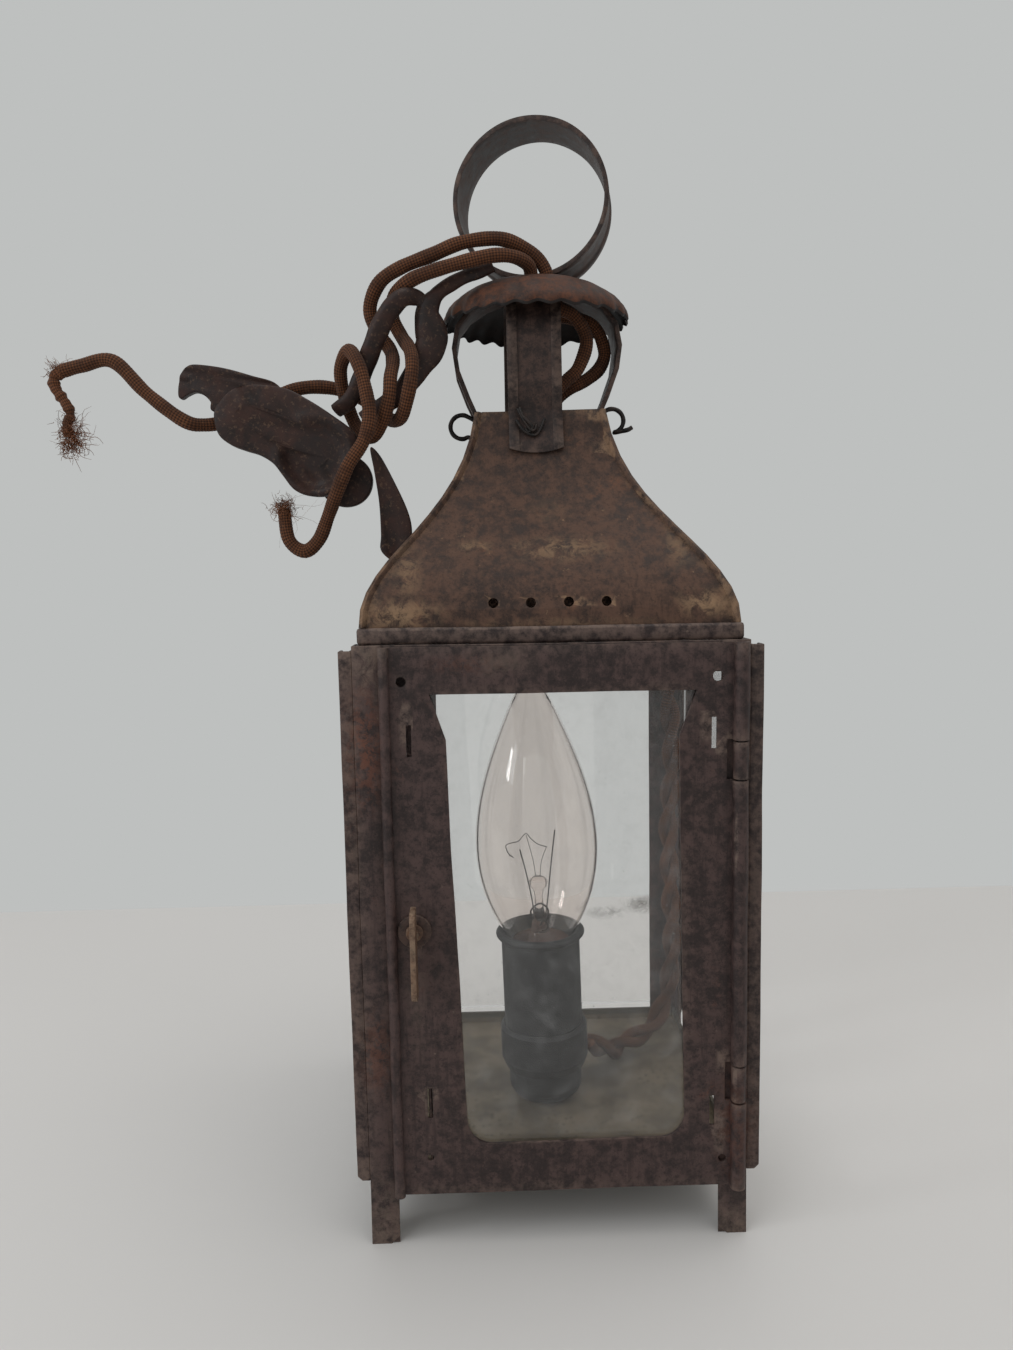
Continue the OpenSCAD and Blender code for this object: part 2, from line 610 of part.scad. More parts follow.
// Cords and the dark strap tied in with them
module flex_pair_inner() color("#5f4334") tube(pair_route, pair_d);
module flex_upper() color("#5f4334") tube(upper_route, cord_d);
module flex_lower() color("#5f4334") tube(lower_route, cord_d);
module tie_strap_long() color("#372a28") tube(long_strap_route, long_strap_d);
module tie_strap_short() color("#372a28") tube(short_strap_route, short_strap_d);
module lobe(x, z, r) translate([x, z]) circle(r = r, $fn = 32);
module tie_strap_pads() {
  color("#3b2e2b") {
    plate(pad_y, pad_y + pad_t) union() {
      hull() {
        lobe(-60, 198, 10.5);
        lobe(-53.5, 199, 7.5);
      }
      hull() {
        lobe(-62, 205, 8);
        lobe(-75.5, 207.5, 7.2);
      }
    }
    plate(pad_y + pad_t, pad_y + pad_t + 3.4) lobe(-50, 191, 6.2);
  }
}
module tie_strap_tails() {
  color("#372a28") {
    plate(pad_y + pad_t, pad_y + pad_t + 2.6) hull() {
      lobe(-89.5, 217, 3.6);
      lobe(-72, 212, 3.8);
    }
    plate(pad_y + pad_t - 3, pad_y + pad_t) hull() {
      lobe(-43.2, 197, 1.4);
      lobe(-38.6, 178, 3.2);
      lobe(-40.3, 172.6, 1.6);
    }
  }
}

corner_post(-90, post_leg);  // corner_post_front_left
corner_post(0, post_leg);  // corner_post_front_right
corner_post(180, rear_leg);  // corner_post_rear_left
corner_post(90, rear_leg);  // corner_post_rear_right
base_pan();
head_band();
eave_band();
glass_channel(180, 1);  // glass_channel_left_front
glass_channel(180, 0);  // glass_channel_left_rear
glass_channel(0, 0);  // glass_channel_right_front
glass_channel(0, 1);  // glass_channel_right_rear
glass_channel(90, 1);  // glass_channel_rear_left
glass_channel(90, 0);  // glass_channel_rear_right
glass_pane(180);  // glass_pane_left
glass_pane(0);  // glass_pane_right
glass_pane(90);  // glass_pane_rear
roof_gore(0);  // roof_front
roof_gore(180);  // roof_rear
roof_gore(-90);  // roof_left
roof_gore(90);  // roof_right
roof_seam(-135);  // roof_seam_front_left
roof_seam(-45);  // roof_seam_front_right
roof_seam(135);  // roof_seam_rear_left
roof_seam(45);  // roof_seam_rear_right
stirrup(straight_bow, 90, strap_shift, true);  // stirrup_front_rear
stirrup(round_bow, 0, 0, false);  // stirrup_left_right
wire_tie(0);  // wire_tie_front
wire_tie(180);  // wire_tie_rear
wire_loop(-1, neck_top - 1.8);  // wire_loop_left
wire_loop(1, neck_top - 0.8);  // wire_loop_right
smoke_cap();
crown_rivet();
carrying_ring();
hinge_wire();
hinge_knuckle(knuckle_z[0]);  // hinge_knuckle_upper
hinge_knuckle(knuckle_z[1]);  // hinge_knuckle_lower
door_frame();
door_glass();
door_glass_channel(door_glass_x[0], 0);  // door_glass_channel_left
door_glass_channel(door_glass_x[1], 1);  // door_glass_channel_right
door_glass_sill();
latch_washer();
latch_turn();
latch_tongue();
lean() holder_base();
lean() holder_collar();
lean() candle_sleeve();
lean() socket_insert();
lean() holder_screw();
lean() bulb_glass();
lean() bulb_cap();
lean() bulb_stem();
lean() bulb_leads();
flex_pair_inner();
flex_upper();
flex_lower();
tie_strap_long();
tie_strap_short();
tie_strap_pads();
tie_strap_tails();
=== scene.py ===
"""Looks of the hanging lantern: aged tinplate, old glass, an electric candle and a tangle of braided flex."""

import json
import math
import random

import bmesh
import bpy
import numpy as np
from mathutils import Matrix, Vector, noise


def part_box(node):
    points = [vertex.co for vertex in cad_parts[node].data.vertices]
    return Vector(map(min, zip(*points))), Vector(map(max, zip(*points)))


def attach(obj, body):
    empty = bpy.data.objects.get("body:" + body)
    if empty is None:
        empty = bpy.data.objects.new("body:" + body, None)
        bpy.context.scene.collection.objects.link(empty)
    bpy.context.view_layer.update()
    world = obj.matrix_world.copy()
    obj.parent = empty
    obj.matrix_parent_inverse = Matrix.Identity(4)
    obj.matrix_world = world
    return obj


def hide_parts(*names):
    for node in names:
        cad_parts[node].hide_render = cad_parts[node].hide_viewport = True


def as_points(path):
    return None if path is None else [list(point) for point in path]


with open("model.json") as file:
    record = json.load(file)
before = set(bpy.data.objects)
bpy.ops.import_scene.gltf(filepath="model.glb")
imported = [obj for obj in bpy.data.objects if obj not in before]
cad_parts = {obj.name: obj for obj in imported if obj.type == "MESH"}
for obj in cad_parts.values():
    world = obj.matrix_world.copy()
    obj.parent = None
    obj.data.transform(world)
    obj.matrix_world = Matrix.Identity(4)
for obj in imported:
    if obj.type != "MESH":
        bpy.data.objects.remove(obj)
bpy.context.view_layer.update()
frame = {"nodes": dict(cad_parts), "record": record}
NODES = frame["nodes"]
MM = 0.001


# ---------------------------------------------------------------- materials

def srgb(r, g, b):
    """Linear colour of an 8-bit screen colour."""
    def linear(v):
        v /= 255
        return v / 12.92 if v <= 0.04045 else ((v + 0.055) / 1.055) ** 2.4
    return (linear(r), linear(g), linear(b), 1.0)


class Shader:
    """A short way to write one material as nodes. Patterns use the row frame's coordinates, in metres."""

    def __init__(self, name):
        self.material = bpy.data.materials.new(name)
        self.material.use_nodes = True
        self.tree = self.material.node_tree
        self.tree.nodes.clear()
        self.output = self.add("ShaderNodeOutputMaterial")
        self.coordinates = self.add("ShaderNodeTexCoord")
        self.place = self.coordinates.outputs["Object"]

    def add(self, kind, inputs=None, **settings):
        node = self.tree.nodes.new(kind)
        for key, value in settings.items():
            setattr(node, key, value)
        for key, value in (inputs or {}).items():
            self.set(node.inputs[key], value)
        return node

    def set(self, socket, value):
        if isinstance(value, bpy.types.NodeSocket):
            self.tree.links.new(value, socket)
        else:
            socket.default_value = value

    def noise(self, scale, detail=4, roughness=0.55, distortion=0.0, place=None):
        inputs = {
            "Vector": place or self.place, "Scale": scale, "Detail": detail,
            "Roughness": roughness, "Distortion": distortion,
        }
        return self.add("ShaderNodeTexNoise", inputs).outputs["Fac"]

    def voronoi(self, scale, place=None):
        inputs = {"Vector": place or self.place, "Scale": scale}
        return self.add("ShaderNodeTexVoronoi", inputs).outputs["Distance"]

    def stretched(self, x, y, z):
        """Coordinates scaled by axis, for streaks."""
        node = self.add("ShaderNodeMapping", {"Vector": self.place, "Scale": (x, y, z)})
        return node.outputs["Vector"]

    def math(self, operation, a, b=0.0, clamp=False):
        node = self.add("ShaderNodeMath", {0: a, 1: b}, operation=operation, use_clamp=clamp)
        return node.outputs[0]

    def step(self, value, low, high, to_low=0.0, to_high=1.0):
        """value, moved smoothly from low..high to to_low..to_high."""
        inputs = {"Value": value, "From Min": low, "From Max": high, "To Min": to_low, "To Max": to_high}
        node = self.add("ShaderNodeMapRange", inputs, interpolation_type="SMOOTHSTEP")
        return node.outputs["Result"]

    def mix(self, share, a, b):
        node = self.add("ShaderNodeMix", data_type="RGBA")
        self.set(node.inputs[0], share)
        self.set(node.inputs[6], a)
        self.set(node.inputs[7], b)
        return node.outputs[2]

    def ball(self, centre, radii):
        """1 at centre, falling to 0 at the surface of an ellipsoid, in metres."""
        node = self.add("ShaderNodeVectorMath", {0: self.place, 1: centre}, operation="SUBTRACT")
        scale = tuple(1 / r for r in radii)
        node = self.add("ShaderNodeVectorMath", {0: node.outputs[0], 1: scale}, operation="MULTIPLY")
        node = self.add("ShaderNodeVectorMath", {0: node.outputs[0]}, operation="LENGTH")
        return self.step(node.outputs["Value"], 0.0, 1.0, 1.0, 0.0)

    def bump(self, height, distance, strength=1.0, normal=None):
        inputs = {"Height": height, "Distance": distance, "Strength": strength}
        if normal:
            inputs["Normal"] = normal
        return self.add("ShaderNodeBump", inputs).outputs["Normal"]

    def surface(self, **inputs):
        """A Principled surface; keyword words are joined by spaces in the socket's name."""
        named = {key.replace("_", " "): value for key, value in inputs.items()}
        return self.add("ShaderNodeBsdfPrincipled", named)

    def finish(self, shader):
        self.tree.links.new(shader.outputs[0], self.output.inputs["Surface"])
        return self.material


def aged_metal(name, dark, mid, rust, pale, rust_share=0.2, pale_share=0.1, patches=(), shine=0.5, rusty=()):
    """Old tinplate: dark patina, a little rust bloom, pale oxide in specks and patches, rubbed edges."""
    s = Shader(name)
    clouds = s.noise(42, 5, 0.6, 0.4)
    mottle = s.noise(330, 6, 0.72)
    grain = s.noise(1700, 3, 0.6)
    streaks = s.noise(60, 4, 0.6, place=s.stretched(14, 14, 1.2))
    tone = s.math("ADD", s.math("MULTIPLY", clouds, 0.3), s.math("MULTIPLY", mottle, 0.7))
    colour = s.mix(s.step(tone, 0.4, 0.6), dark, mid)
    colour = s.mix(s.step(grain, 0.5, 0.8, 0, 0.5), colour, mid)
    colour = s.mix(s.step(streaks, 0.5, 0.72, 0, 0.55), colour, dark)
    pitted = s.step(s.noise(1000, 5, 0.8), 0.54, 0.64, 0, 0.55)
    colour = s.mix(pitted, colour, tuple(c * 0.4 for c in dark[:3]) + (1,))

    bloom = s.math("ADD", s.noise(62, 6, 0.75, 0.4), s.math("MULTIPLY", grain, 0.12))
    bloom = s.step(bloom, 0.72 - 0.2 * rust_share, 0.9 - 0.16 * rust_share, 0, 0.7)
    bloom = s.math("MULTIPLY", bloom, s.step(mottle, 0.38, 0.6))
    for centre, radii, strength in rusty:
        inside = s.math("MULTIPLY", s.ball(centre, radii), strength)
        ragged = s.math("MULTIPLY", inside, s.step(s.noise(420, 6, 0.8, 0.4), 0.44, 0.56))
        bloom = s.math("MAXIMUM", bloom, ragged)
    colour = s.mix(bloom, colour, rust)

    crust = s.math("ADD", s.noise(420, 5, 0.7), s.math("MULTIPLY", clouds, 0.35))
    mask = s.step(crust, 0.88 - 0.26 * pale_share, 1.0 - 0.2 * pale_share)
    for centre, radii, strength in patches:
        inside = s.math("MULTIPLY", s.ball(centre, radii), strength)
        ragged = s.math("MULTIPLY", inside, s.step(s.noise(300, 6, 0.75, 0.5), 0.4, 0.6))
        mask = s.math("MAXIMUM", mask, ragged)
    colour = s.mix(s.math("MULTIPLY", mask, 0.75), colour, pale)

    geometry = s.add("ShaderNodeNewGeometry")
    edge = s.step(geometry.outputs["Pointiness"], 0.51, 0.56, 0, 0.5)
    colour = s.mix(s.math("MULTIPLY", edge, s.step(mottle, 0.35, 0.65)), colour, pale)

    roughness = s.step(tone, 0.3, 0.7, 0.62 - 0.25 * shine, 0.84 - 0.2 * shine)
    roughness = s.math("ADD", roughness, s.math("MULTIPLY", mask, 0.2), clamp=True)
    pits = s.math("ADD", s.math("MULTIPLY", grain, 0.5), s.math("MULTIPLY", mask, 0.8))
    normal = s.bump(pits, 0.00012, 0.5, s.bump(s.noise(90, 3), 0.0006, 0.25))
    metal = s.surface(Base_Color=colour, Metallic=0.1, Roughness=roughness, Specular_IOR_Level=0.35, Normal=normal)
    return s.finish(metal)


def glass(name, tint, dirt_share, smear_patches=()):
    """Clear glass that lets lamps through, with dust and small specks."""
    s = Shader(name)
    dust = s.step(s.noise(150, 6, 0.75), 0.45, 0.8, 0.01 * dirt_share, 0.14 * dirt_share)
    specks = s.step(s.voronoi(360), 0.03, 0.09, 0.8 * dirt_share, 0)
    specks = s.math("MULTIPLY", specks, s.step(s.noise(60, 2), 0.5, 0.6))
    dirt = s.math("MAXIMUM", dust, specks)
    for centre, radii, strength in smear_patches:
        smear = s.math("MULTIPLY", s.ball(centre, radii), strength)
        smear = s.math("MULTIPLY", smear, s.step(s.noise(240, 6, 0.7, 1.0), 0.35, 0.6))
        dirt = s.math("MAXIMUM", dirt, smear)
    colour = s.mix(dirt, tint, srgb(150, 142, 130))
    body = s.surface(
        Base_Color=colour, Roughness=s.math("MULTIPLY", dirt, 0.5), IOR=1.45,
        Transmission_Weight=s.math("SUBTRACT", 1.0, dirt),
    )
    clear = s.add("ShaderNodeBsdfTransparent")
    path = s.add("ShaderNodeLightPath")
    both = s.add("ShaderNodeMixShader", {0: path.outputs["Is Shadow Ray"]})
    s.tree.links.new(body.outputs[0], both.inputs[1])
    s.tree.links.new(clear.outputs[0], both.inputs[2])
    return s.finish(both)


def braided_cloth(name, light, dark):
    """Cotton braid, with painted shade in the grooves between its threads; UV holds the length along the cord in
    millimetres and the turn round it.
    """
    s = Shader(name)
    split = s.add("ShaderNodeSeparateXYZ", {"Vector": s.coordinates.outputs["UV"]})
    along = s.math("MULTIPLY", split.outputs["X"], 2 * math.pi / BRAID_PITCH_MM)
    turn = s.math("MULTIPLY", split.outputs["Y"], 2 * math.pi * BRAID_CARRIERS)
    left = s.math("COSINE", s.math("ADD", turn, along))
    right = s.math("COSINE", s.math("SUBTRACT", turn, along))
    cross = s.math("MULTIPLY", left, right)
    # Painted shade: where the braid's relief is low, in its grooves, the colour goes towards dark, and the raised
    # threads keep light.
    braid_groove_shade = s.step(cross, -0.8, 0.9)
    age = s.noise(160, 5, 0.6)
    colour = s.mix(braid_groove_shade, dark, light)
    colour = s.mix(s.step(age, 0.4, 0.68, 0, 0.65), colour, dark)
    colour = s.mix(s.step(s.noise(900, 3), 0.6, 0.75, 0, 0.25), colour, srgb(140, 100, 72))
    normal = s.bump(s.math("ADD", cross, s.noise(5200, 2)), 0.00008, 0.6)
    cloth = s.surface(Base_Color=colour, Roughness=0.92, Specular_IOR_Level=0.2, Sheen_Weight=0.06, Normal=normal)
    return s.finish(cloth)


def old_leather(name, dark, mid, shaded_recesses=()):
    """Dark dried hide with fine cracks and dust; the given recesses are darkened as painted shade."""
    s = Shader(name)
    tone = s.noise(150, 5, 0.65, 0.4)
    colour = s.mix(s.step(tone, 0.35, 0.68), dark, mid)
    colour = s.mix(s.step(s.noise(900, 5, 0.75), 0.54, 0.66, 0, 0.5), colour, srgb(104, 80, 62))
    # Painted shade: inside each recess the colour is darkened towards srgb(30, 22, 21).
    for centre, radii in shaded_recesses:
        inside = s.step(s.ball(centre, radii), 0.02, 0.3)
        colour = s.mix(s.math("MULTIPLY", inside, 0.6), colour, srgb(30, 22, 21))
    creases = s.step(s.voronoi(420), 0.0, 0.12)
    normal = s.bump(creases, 0.0001, 0.2, s.bump(s.noise(1400, 4), 0.0001, 0.35))
    roughness = s.step(tone, 0.3, 0.7, 0.48, 0.7)
    return s.finish(s.surface(Base_Color=colour, Roughness=roughness, Specular_IOR_Level=0.3, Normal=normal))


def plain_metal(name, colour, dull, roughness, metallic):
    s = Shader(name)
    tone = s.noise(420, 5, 0.65)
    worn = s.mix(s.step(tone, 0.4, 0.66), colour, dull)
    normal = s.bump(s.noise(2400, 3), 0.00004, 0.4)
    return s.finish(s.surface(Base_Color=worn, Metallic=metallic, Roughness=roughness, Normal=normal))


def dusty_enamel(name, colour):
    s = Shader(name)
    dust = s.step(s.noise(300, 5, 0.7), 0.5, 0.8, 0, 0.16)
    specks = s.step(s.voronoi(620), 0.03, 0.09, 0.35, 0)
    specks = s.math("MULTIPLY", specks, s.step(s.noise(150, 3), 0.45, 0.6))
    worn = s.mix(s.math("MAXIMUM", dust, specks), colour, srgb(128, 130, 126))
    normal = s.bump(s.noise(260, 3), 0.00003, 0.3)
    return s.finish(s.surface(Base_Color=worn, Roughness=0.66, Normal=normal))


def galvanised_floor(name):
    """Dull zinc with dark dashes, a stain in front of the lamp and a dark rim."""
    s = Shader(name)
    colour = s.mix(s.step(s.noise(70, 4), 0.35, 0.65), srgb(80, 70, 55), srgb(112, 100, 82))
    cells = {"Vector": s.stretched(400, 310, 1), "Scale": 1.0, "Randomness": 0.8}
    dots = s.add("ShaderNodeTexVoronoi", cells, voronoi_dimensions="2D").outputs["Distance"]
    dashes = s.math("MULTIPLY", s.step(dots, 0.12, 0.24, 1, 0), s.step(s.noise(110, 3), 0.42, 0.52))
    stain = s.ball((0.002, -0.034, 0.013), (0.036, 0.018, 0.02))
    stain = s.math("MULTIPLY", stain, s.step(s.noise(90, 5, 0.7), 0.3, 0.6))
    colour = s.mix(s.math("MULTIPLY", dashes, 0.75), colour, srgb(70, 64, 52))
    colour = s.mix(s.math("MULTIPLY", stain, 0.85), colour, srgb(62, 55, 44))
    height = s.add("ShaderNodeSeparateXYZ", {"Vector": s.place}).outputs["Z"]
    colour = s.mix(s.step(height, 0.0146, 0.0156, 0, 0.85), colour, srgb(66, 62, 54))
    normal = s.bump(s.noise(700, 4), 0.0001, 0.4)
    return s.finish(s.surface(Base_Color=colour, Metallic=0.1, Roughness=0.6, Normal=normal))


BRAID_PITCH_MM = 1.5
BRAID_CARRIERS = 8

# Pale oxide: centre, half sizes and strength of each patch, in the row frame
ROOF_PATCHES = [
    ((0.003, -0.040, 0.1725), (0.020, 0.014, 0.0050), 0.9),
    ((-0.018, -0.040, 0.173), (0.008, 0.014, 0.0030), 0.9),
    ((0.001, -0.036, 0.183), (0.010, 0.014, 0.0070), 0.5),
    ((0.037, -0.044, 0.1585), (0.010, 0.012, 0.0050), 1.0),
    ((-0.034, -0.042, 0.172), (0.006, 0.010, 0.016), 0.9),
    ((-0.036, -0.046, 0.157), (0.016, 0.012, 0.0060), 1.0),
    ((0.0, -0.047, 0.1545), (0.046, 0.006, 0.0022), 0.6),
    ((0.032, -0.034, 0.171), (0.006, 0.010, 0.010), 0.5),
]
BODY_PATCHES = [
    ((-0.0435, -0.047, 0.004), (0.006, 0.010, 0.022), 0.6),
    ((0.0435, -0.047, 0.001), (0.006, 0.010, 0.012), 0.6),
    ((-0.043, -0.047, 0.145), (0.006, 0.010, 0.012), 0.7),
    ((-0.012, -0.048, 0.146), (0.012, 0.004, 0.0050), 0.35),
    ((-0.034, -0.049, 0.072), (0.004, 0.006, 0.030), 0.3),
]
BACK_SMEAR = [
    ((0.024, 0.0486, 0.0500), (0.010, 0.006, 0.0030), 0.45),
    ((0.036, 0.0486, 0.0525), (0.009, 0.006, 0.0042), 0.7),
]
BODY_RUST = [
    ((-0.0445, -0.046, 0.126), (0.007, 0.010, 0.022), 0.8),
    ((-0.049, -0.040, 0.120), (0.006, 0.012, 0.040), 0.5),
    ((-0.020, -0.050, 0.1455), (0.016, 0.004, 0.0040), 0.5),
    ((0.044, -0.047, 0.030), (0.008, 0.010, 0.024), 0.5),
    ((-0.0445, -0.046, 0.050), (0.007, 0.010, 0.016), 0.5),
]
# Painted shade in the pad's round recess: centre and half sizes
LEATHER_RECESS_SHADE = [((-0.058, -0.021, 0.197), (0.0088, 0.004, 0.0088))]

MATERIALS = {
    "body_tin": aged_metal(
        "aged_tinplate", srgb(42, 32, 31), srgb(77, 60, 57), srgb(104, 62, 46), srgb(128, 110, 98),
        0.3, 0.1, BODY_PATCHES, 0.7, BODY_RUST),
    "roof_tin": aged_metal(
        "roof_tinplate", srgb(46, 32, 26), srgb(86, 62, 50), srgb(116, 72, 46), srgb(156, 126, 98),
        0.45, 0.2, ROOF_PATCHES, 0.35),
    "strip_tin": aged_metal(
        "ribbed_strip", srgb(36, 26, 24), srgb(74, 55, 48), srgb(96, 60, 42), srgb(108, 92, 82),
        0.3, 0.05, (), 0.8),
    "cap_rust": aged_metal(
        "rusted_cap", srgb(46, 29, 22), srgb(92, 55, 37), srgb(138, 78, 44), srgb(140, 104, 76),
        0.7, 0.1, (), 0.3),
    # A darker copy of the cap's tinplate finish: painted shade for the cap's underside
    "cap_underside_shade": aged_metal(
        "cap_underside_shade_sheet", srgb(20, 16, 15), srgb(38, 29, 26), srgb(58, 38, 28), srgb(60, 50, 44),
        0.3, 0.05, (), 0.5),
    "galvanised_floor": galvanised_floor("galvanised_sheet"),
    "iron_wire": plain_metal("iron_wire", srgb(28, 26, 26), srgb(54, 44, 40), 0.5, 0.5),
    "latch_rust": aged_metal(
        "rusted_latch", srgb(74, 54, 44), srgb(112, 82, 62), srgb(134, 90, 58), srgb(150, 136, 118),
        0.7, 0.2, (), 0.4),
    "rivet_steel": plain_metal("rivet_steel", srgb(66, 56, 50), srgb(96, 76, 62), 0.5, 0.6),
    "window_glass": glass("window_glass", (0.985, 0.985, 0.98, 1), 0.5, BACK_SMEAR),
    "bulb_glass": glass("lamp_glass", (0.955, 0.91, 0.885, 1), 0.06),
    "lead_wire": plain_metal("lamp_wire", srgb(70, 66, 64), srgb(46, 42, 40), 0.4, 0.9),
    "socket_brass": plain_metal("socket_brass", srgb(150, 126, 78), srgb(104, 88, 58), 0.38, 0.9),
    "cement": dusty_enamel("brown_cement", srgb(92, 68, 58)),
    "holder_enamel": dusty_enamel("charcoal_sleeve", srgb(24, 23, 25)),
    "braided_cotton": braided_cloth("braided_cotton", srgb(108, 68, 44), srgb(48, 30, 22)),
    "frayed_cotton": braided_cloth("frayed_cotton", srgb(112, 70, 46), srgb(60, 38, 27)),
    "old_leather": old_leather("old_leather", srgb(31, 20, 18), srgb(58, 37, 31), LEATHER_RECESS_SHADE),
}


# ---------------------------------------------------------------- meshes

def add_piece(name, mesh, body, slot, *replaced, look=None):
    """A piece of the object: its mesh is in the row frame, and it takes its finish from slot, or a variant of it."""
    piece = bpy.data.objects.new(name, mesh)
    bpy.context.scene.collection.objects.link(piece)
    mesh.materials.clear()
    mesh.materials.append(MATERIALS[look or slot])
    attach(piece, body)
    if replaced:
        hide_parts(*replaced)
    return piece


def smooth(mesh, degrees=35):
    mesh.shade_smooth()
    mesh.set_sharp_from_angle(angle=math.radians(degrees))


JOINTS = {joint["name"]: joint for joint in frame["record"]["behaviour"]["joints"]}
LATCH = Vector(JOINTS["latch_turn"]["pos_m"])


def dent(point):
    """How far handling has moved the sheet metal at this point.

    Neighbours move together, so joints stay closed, and nothing moves round the latch's spindle, so it turns.
    """
    reach = math.hypot(point.x - LATCH.x, point.z - LATCH.z)
    share = min(max((reach - 7 * MM) / (8 * MM), 0), 1)
    slow = noise.noise_vector(point * 26 + Vector((3.1, 7.7, 1.9))) * (0.32 * MM)
    quick = noise.noise_vector(point * 105) * (0.07 * MM)
    return (slow + quick) * share


def worn_mesh(node, bevel=0.25 * MM, grid=4 * MM):
    """A copy of a CAD node's mesh with its edges rounded and its faces cut fine enough to dent."""
    shape = bmesh.new()
    shape.from_mesh(NODES[node].data)
    bmesh.ops.remove_doubles(shape, verts=shape.verts, dist=1e-6)
    bmesh.ops.dissolve_limit(shape, angle_limit=math.radians(1), verts=shape.verts, edges=shape.edges)
    if bevel:
        sharp = [e for e in shape.edges if e.is_manifold and e.calc_face_angle(0) > math.radians(35)]
        bmesh.ops.bevel(
            shape, geom=sharp, offset=bevel, segments=2, profile=0.5, affect="EDGES", clamp_overlap=True)
    if grid:
        low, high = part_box(node)
        for axis in range(3):
            normal = Vector([float(i == axis) for i in range(3)])
            cuts = int((high[axis] - low[axis]) / grid)
            for i in range(1, cuts + 1):
                at = low[axis] + (high[axis] - low[axis]) * i / (cuts + 1)
                everything = shape.verts[:] + shape.edges[:] + shape.faces[:]
                bmesh.ops.bisect_plane(shape, geom=everything, plane_co=normal * at, plane_no=normal)
    for vertex in shape.verts:
        vertex.co += dent(vertex.co)
    mesh = bpy.data.meshes.new(node + "_worn")
    shape.to_mesh(mesh)
    shape.free()
    smooth(mesh)
    return mesh


def worn_piece(node, body, slot, look=None, **how):
    return add_piece(node + "_worn", worn_mesh(node, **how), body, slot, node, look=look)


def mesh_from_rings(name, rings, closed_ends=True, uv=None):
    """A skin over rings of equal length. uv, if given, holds (u, v) for each ring and side, with a seam column."""
    rings = np.asarray(rings, float)
    count, sides, _ = rings.shape
    mesh = bpy.data.meshes.new(name)
    i, k = np.meshgrid(np.arange(count - 1), np.arange(sides), indexing="ij")
    j = (k + 1) % sides
    quads = np.stack([i * sides + k, i * sides + j, (i + 1) * sides + j, (i + 1) * sides + k], -1).reshape(-1, 4)
    faces = quads.tolist()
    if closed_ends:
        faces.append(list(range(sides - 1, -1, -1)))
        faces.append([(count - 1) * sides + n for n in range(sides)])
    mesh.from_pydata(rings.reshape(-1, 3).tolist(), [], faces)
    if uv is not None:
        layer = mesh.uv_layers.new(name="Cord")
        u, v = uv
        i, k = i.reshape(-1), k.reshape(-1)
        corners = np.stack([
            np.stack([u[i], v[k]], -1), np.stack([u[i], v[k + 1]], -1),
            np.stack([u[i + 1], v[k + 1]], -1), np.stack([u[i + 1], v[k]], -1),
        ], 1).reshape(-1, 2)
        values = np.zeros((len(mesh.loops), 2), np.float32)
        values[:len(corners)] = corners
        layer.data.foreach_set("uv", values.reshape(-1))
    mesh.shade_smooth()
    return mesh


def spline(points, spacing):
    """Points at even spacing on one smooth curve through the given points."""
    p = np.asarray(points, float)
    p = np.vstack([2 * p[0] - p[1], p, 2 * p[-1] - p[-2]])
    dense = []
    for a, b, c, d in zip(p[:-3], p[1:-2], p[2:-1], p[3:]):
        t = np.linspace(0, 1, 24, endpoint=False)[:, None]
        dense.append(0.5 * (
            2 * b + (c - a) * t + (2 * a - 5 * b + 4 * c - d) * t ** 2 + (3 * b - a - 3 * c + d) * t ** 3))
    dense = np.vstack(dense + [p[-2:-1]])
    length = np.concatenate([[0], np.cumsum(np.linalg.norm(np.diff(dense, axis=0), axis=1))])
    count = max(2, int(round(length[-1] / spacing)) + 1)
    even = np.linspace(0, length[-1], count)
    return np.stack([np.interp(even, length, dense[:, n]) for n in range(3)], -1), even


def frames(path):
    """Two axes square to the path at each point, carried along it without twist."""
    ahead = np.gradient(path, axis=0)
    ahead /= np.linalg.norm(ahead, axis=1)[:, None]
    first = np.cross(ahead[0], [0, 0, 1] if abs(ahead[0][2]) < 0.9 else [1, 0, 0])
    sides = [first / np.linalg.norm(first)]
    for direction in ahead[1:]:
        side = sides[-1] - direction * np.dot(sides[-1], direction)
        sides.append(side / np.linalg.norm(side))
    sides = np.array(sides)
    return sides, np.cross(ahead, sides)


def swept(name, path, radius, sides=16, uv=None, twist=None):
    """A tube along path. radius(i, angles) gives the radius, or a pair of half axes, of ring i."""
    side, up = frames(path)
    angles = np.linspace(0, 2 * math.pi, sides, endpoint=False)
    rings = []
    for i, point in enumerate(path):
        r = radius(i, angles)
        a, b = r if isinstance(r, tuple) else (r, r)
        turn = twist[i] if twist is not None else 0.0
        s = side[i] * math.cos(turn) + up[i] * math.sin(turn)
        u = up[i] * math.cos(turn) - side[i] * math.sin(turn)
        rings.append(point + np.outer(a * np.cos(angles), s) + np.outer(b * np.sin(angles), u))
    return mesh_from_rings(name, rings, True, uv)


def braided_cord(name, route, diameter, body, node):
    """A free cord whose cotton braid is real relief."""
    path, along = spline(route, 0.3 * MM)
    sides = 40
    turn = 2 * math.pi / BRAID_PITCH_MM
    end = along[-1]

    def radius(i, angles):
        s = along[i] / MM
        left = np.cos(BRAID_CARRIERS * angles + s * turn)
        right = np.cos(BRAID_CARRIERS * angles - s * turn)
        swell = 0.05 * math.sin(s * 0.33) + 0.04 * math.sin(s * 0.83 + 1)
        tip = 1 - 0.25 * max(0.0, 1 - (end - along[i]) / (2 * MM)) ** 2
        return (diameter / 2 - 0.08 * MM + 0.09 * MM * left * right + swell * MM) * tip

    uv = (along / MM, np.linspace(0, 1, sides + 1))
    piece = add_piece(name, swept(name, path, radius, sides, uv), body, "braided_cotton", node)
    return piece, path, end


# ---------------------------------------------------------------- camera, floor and light

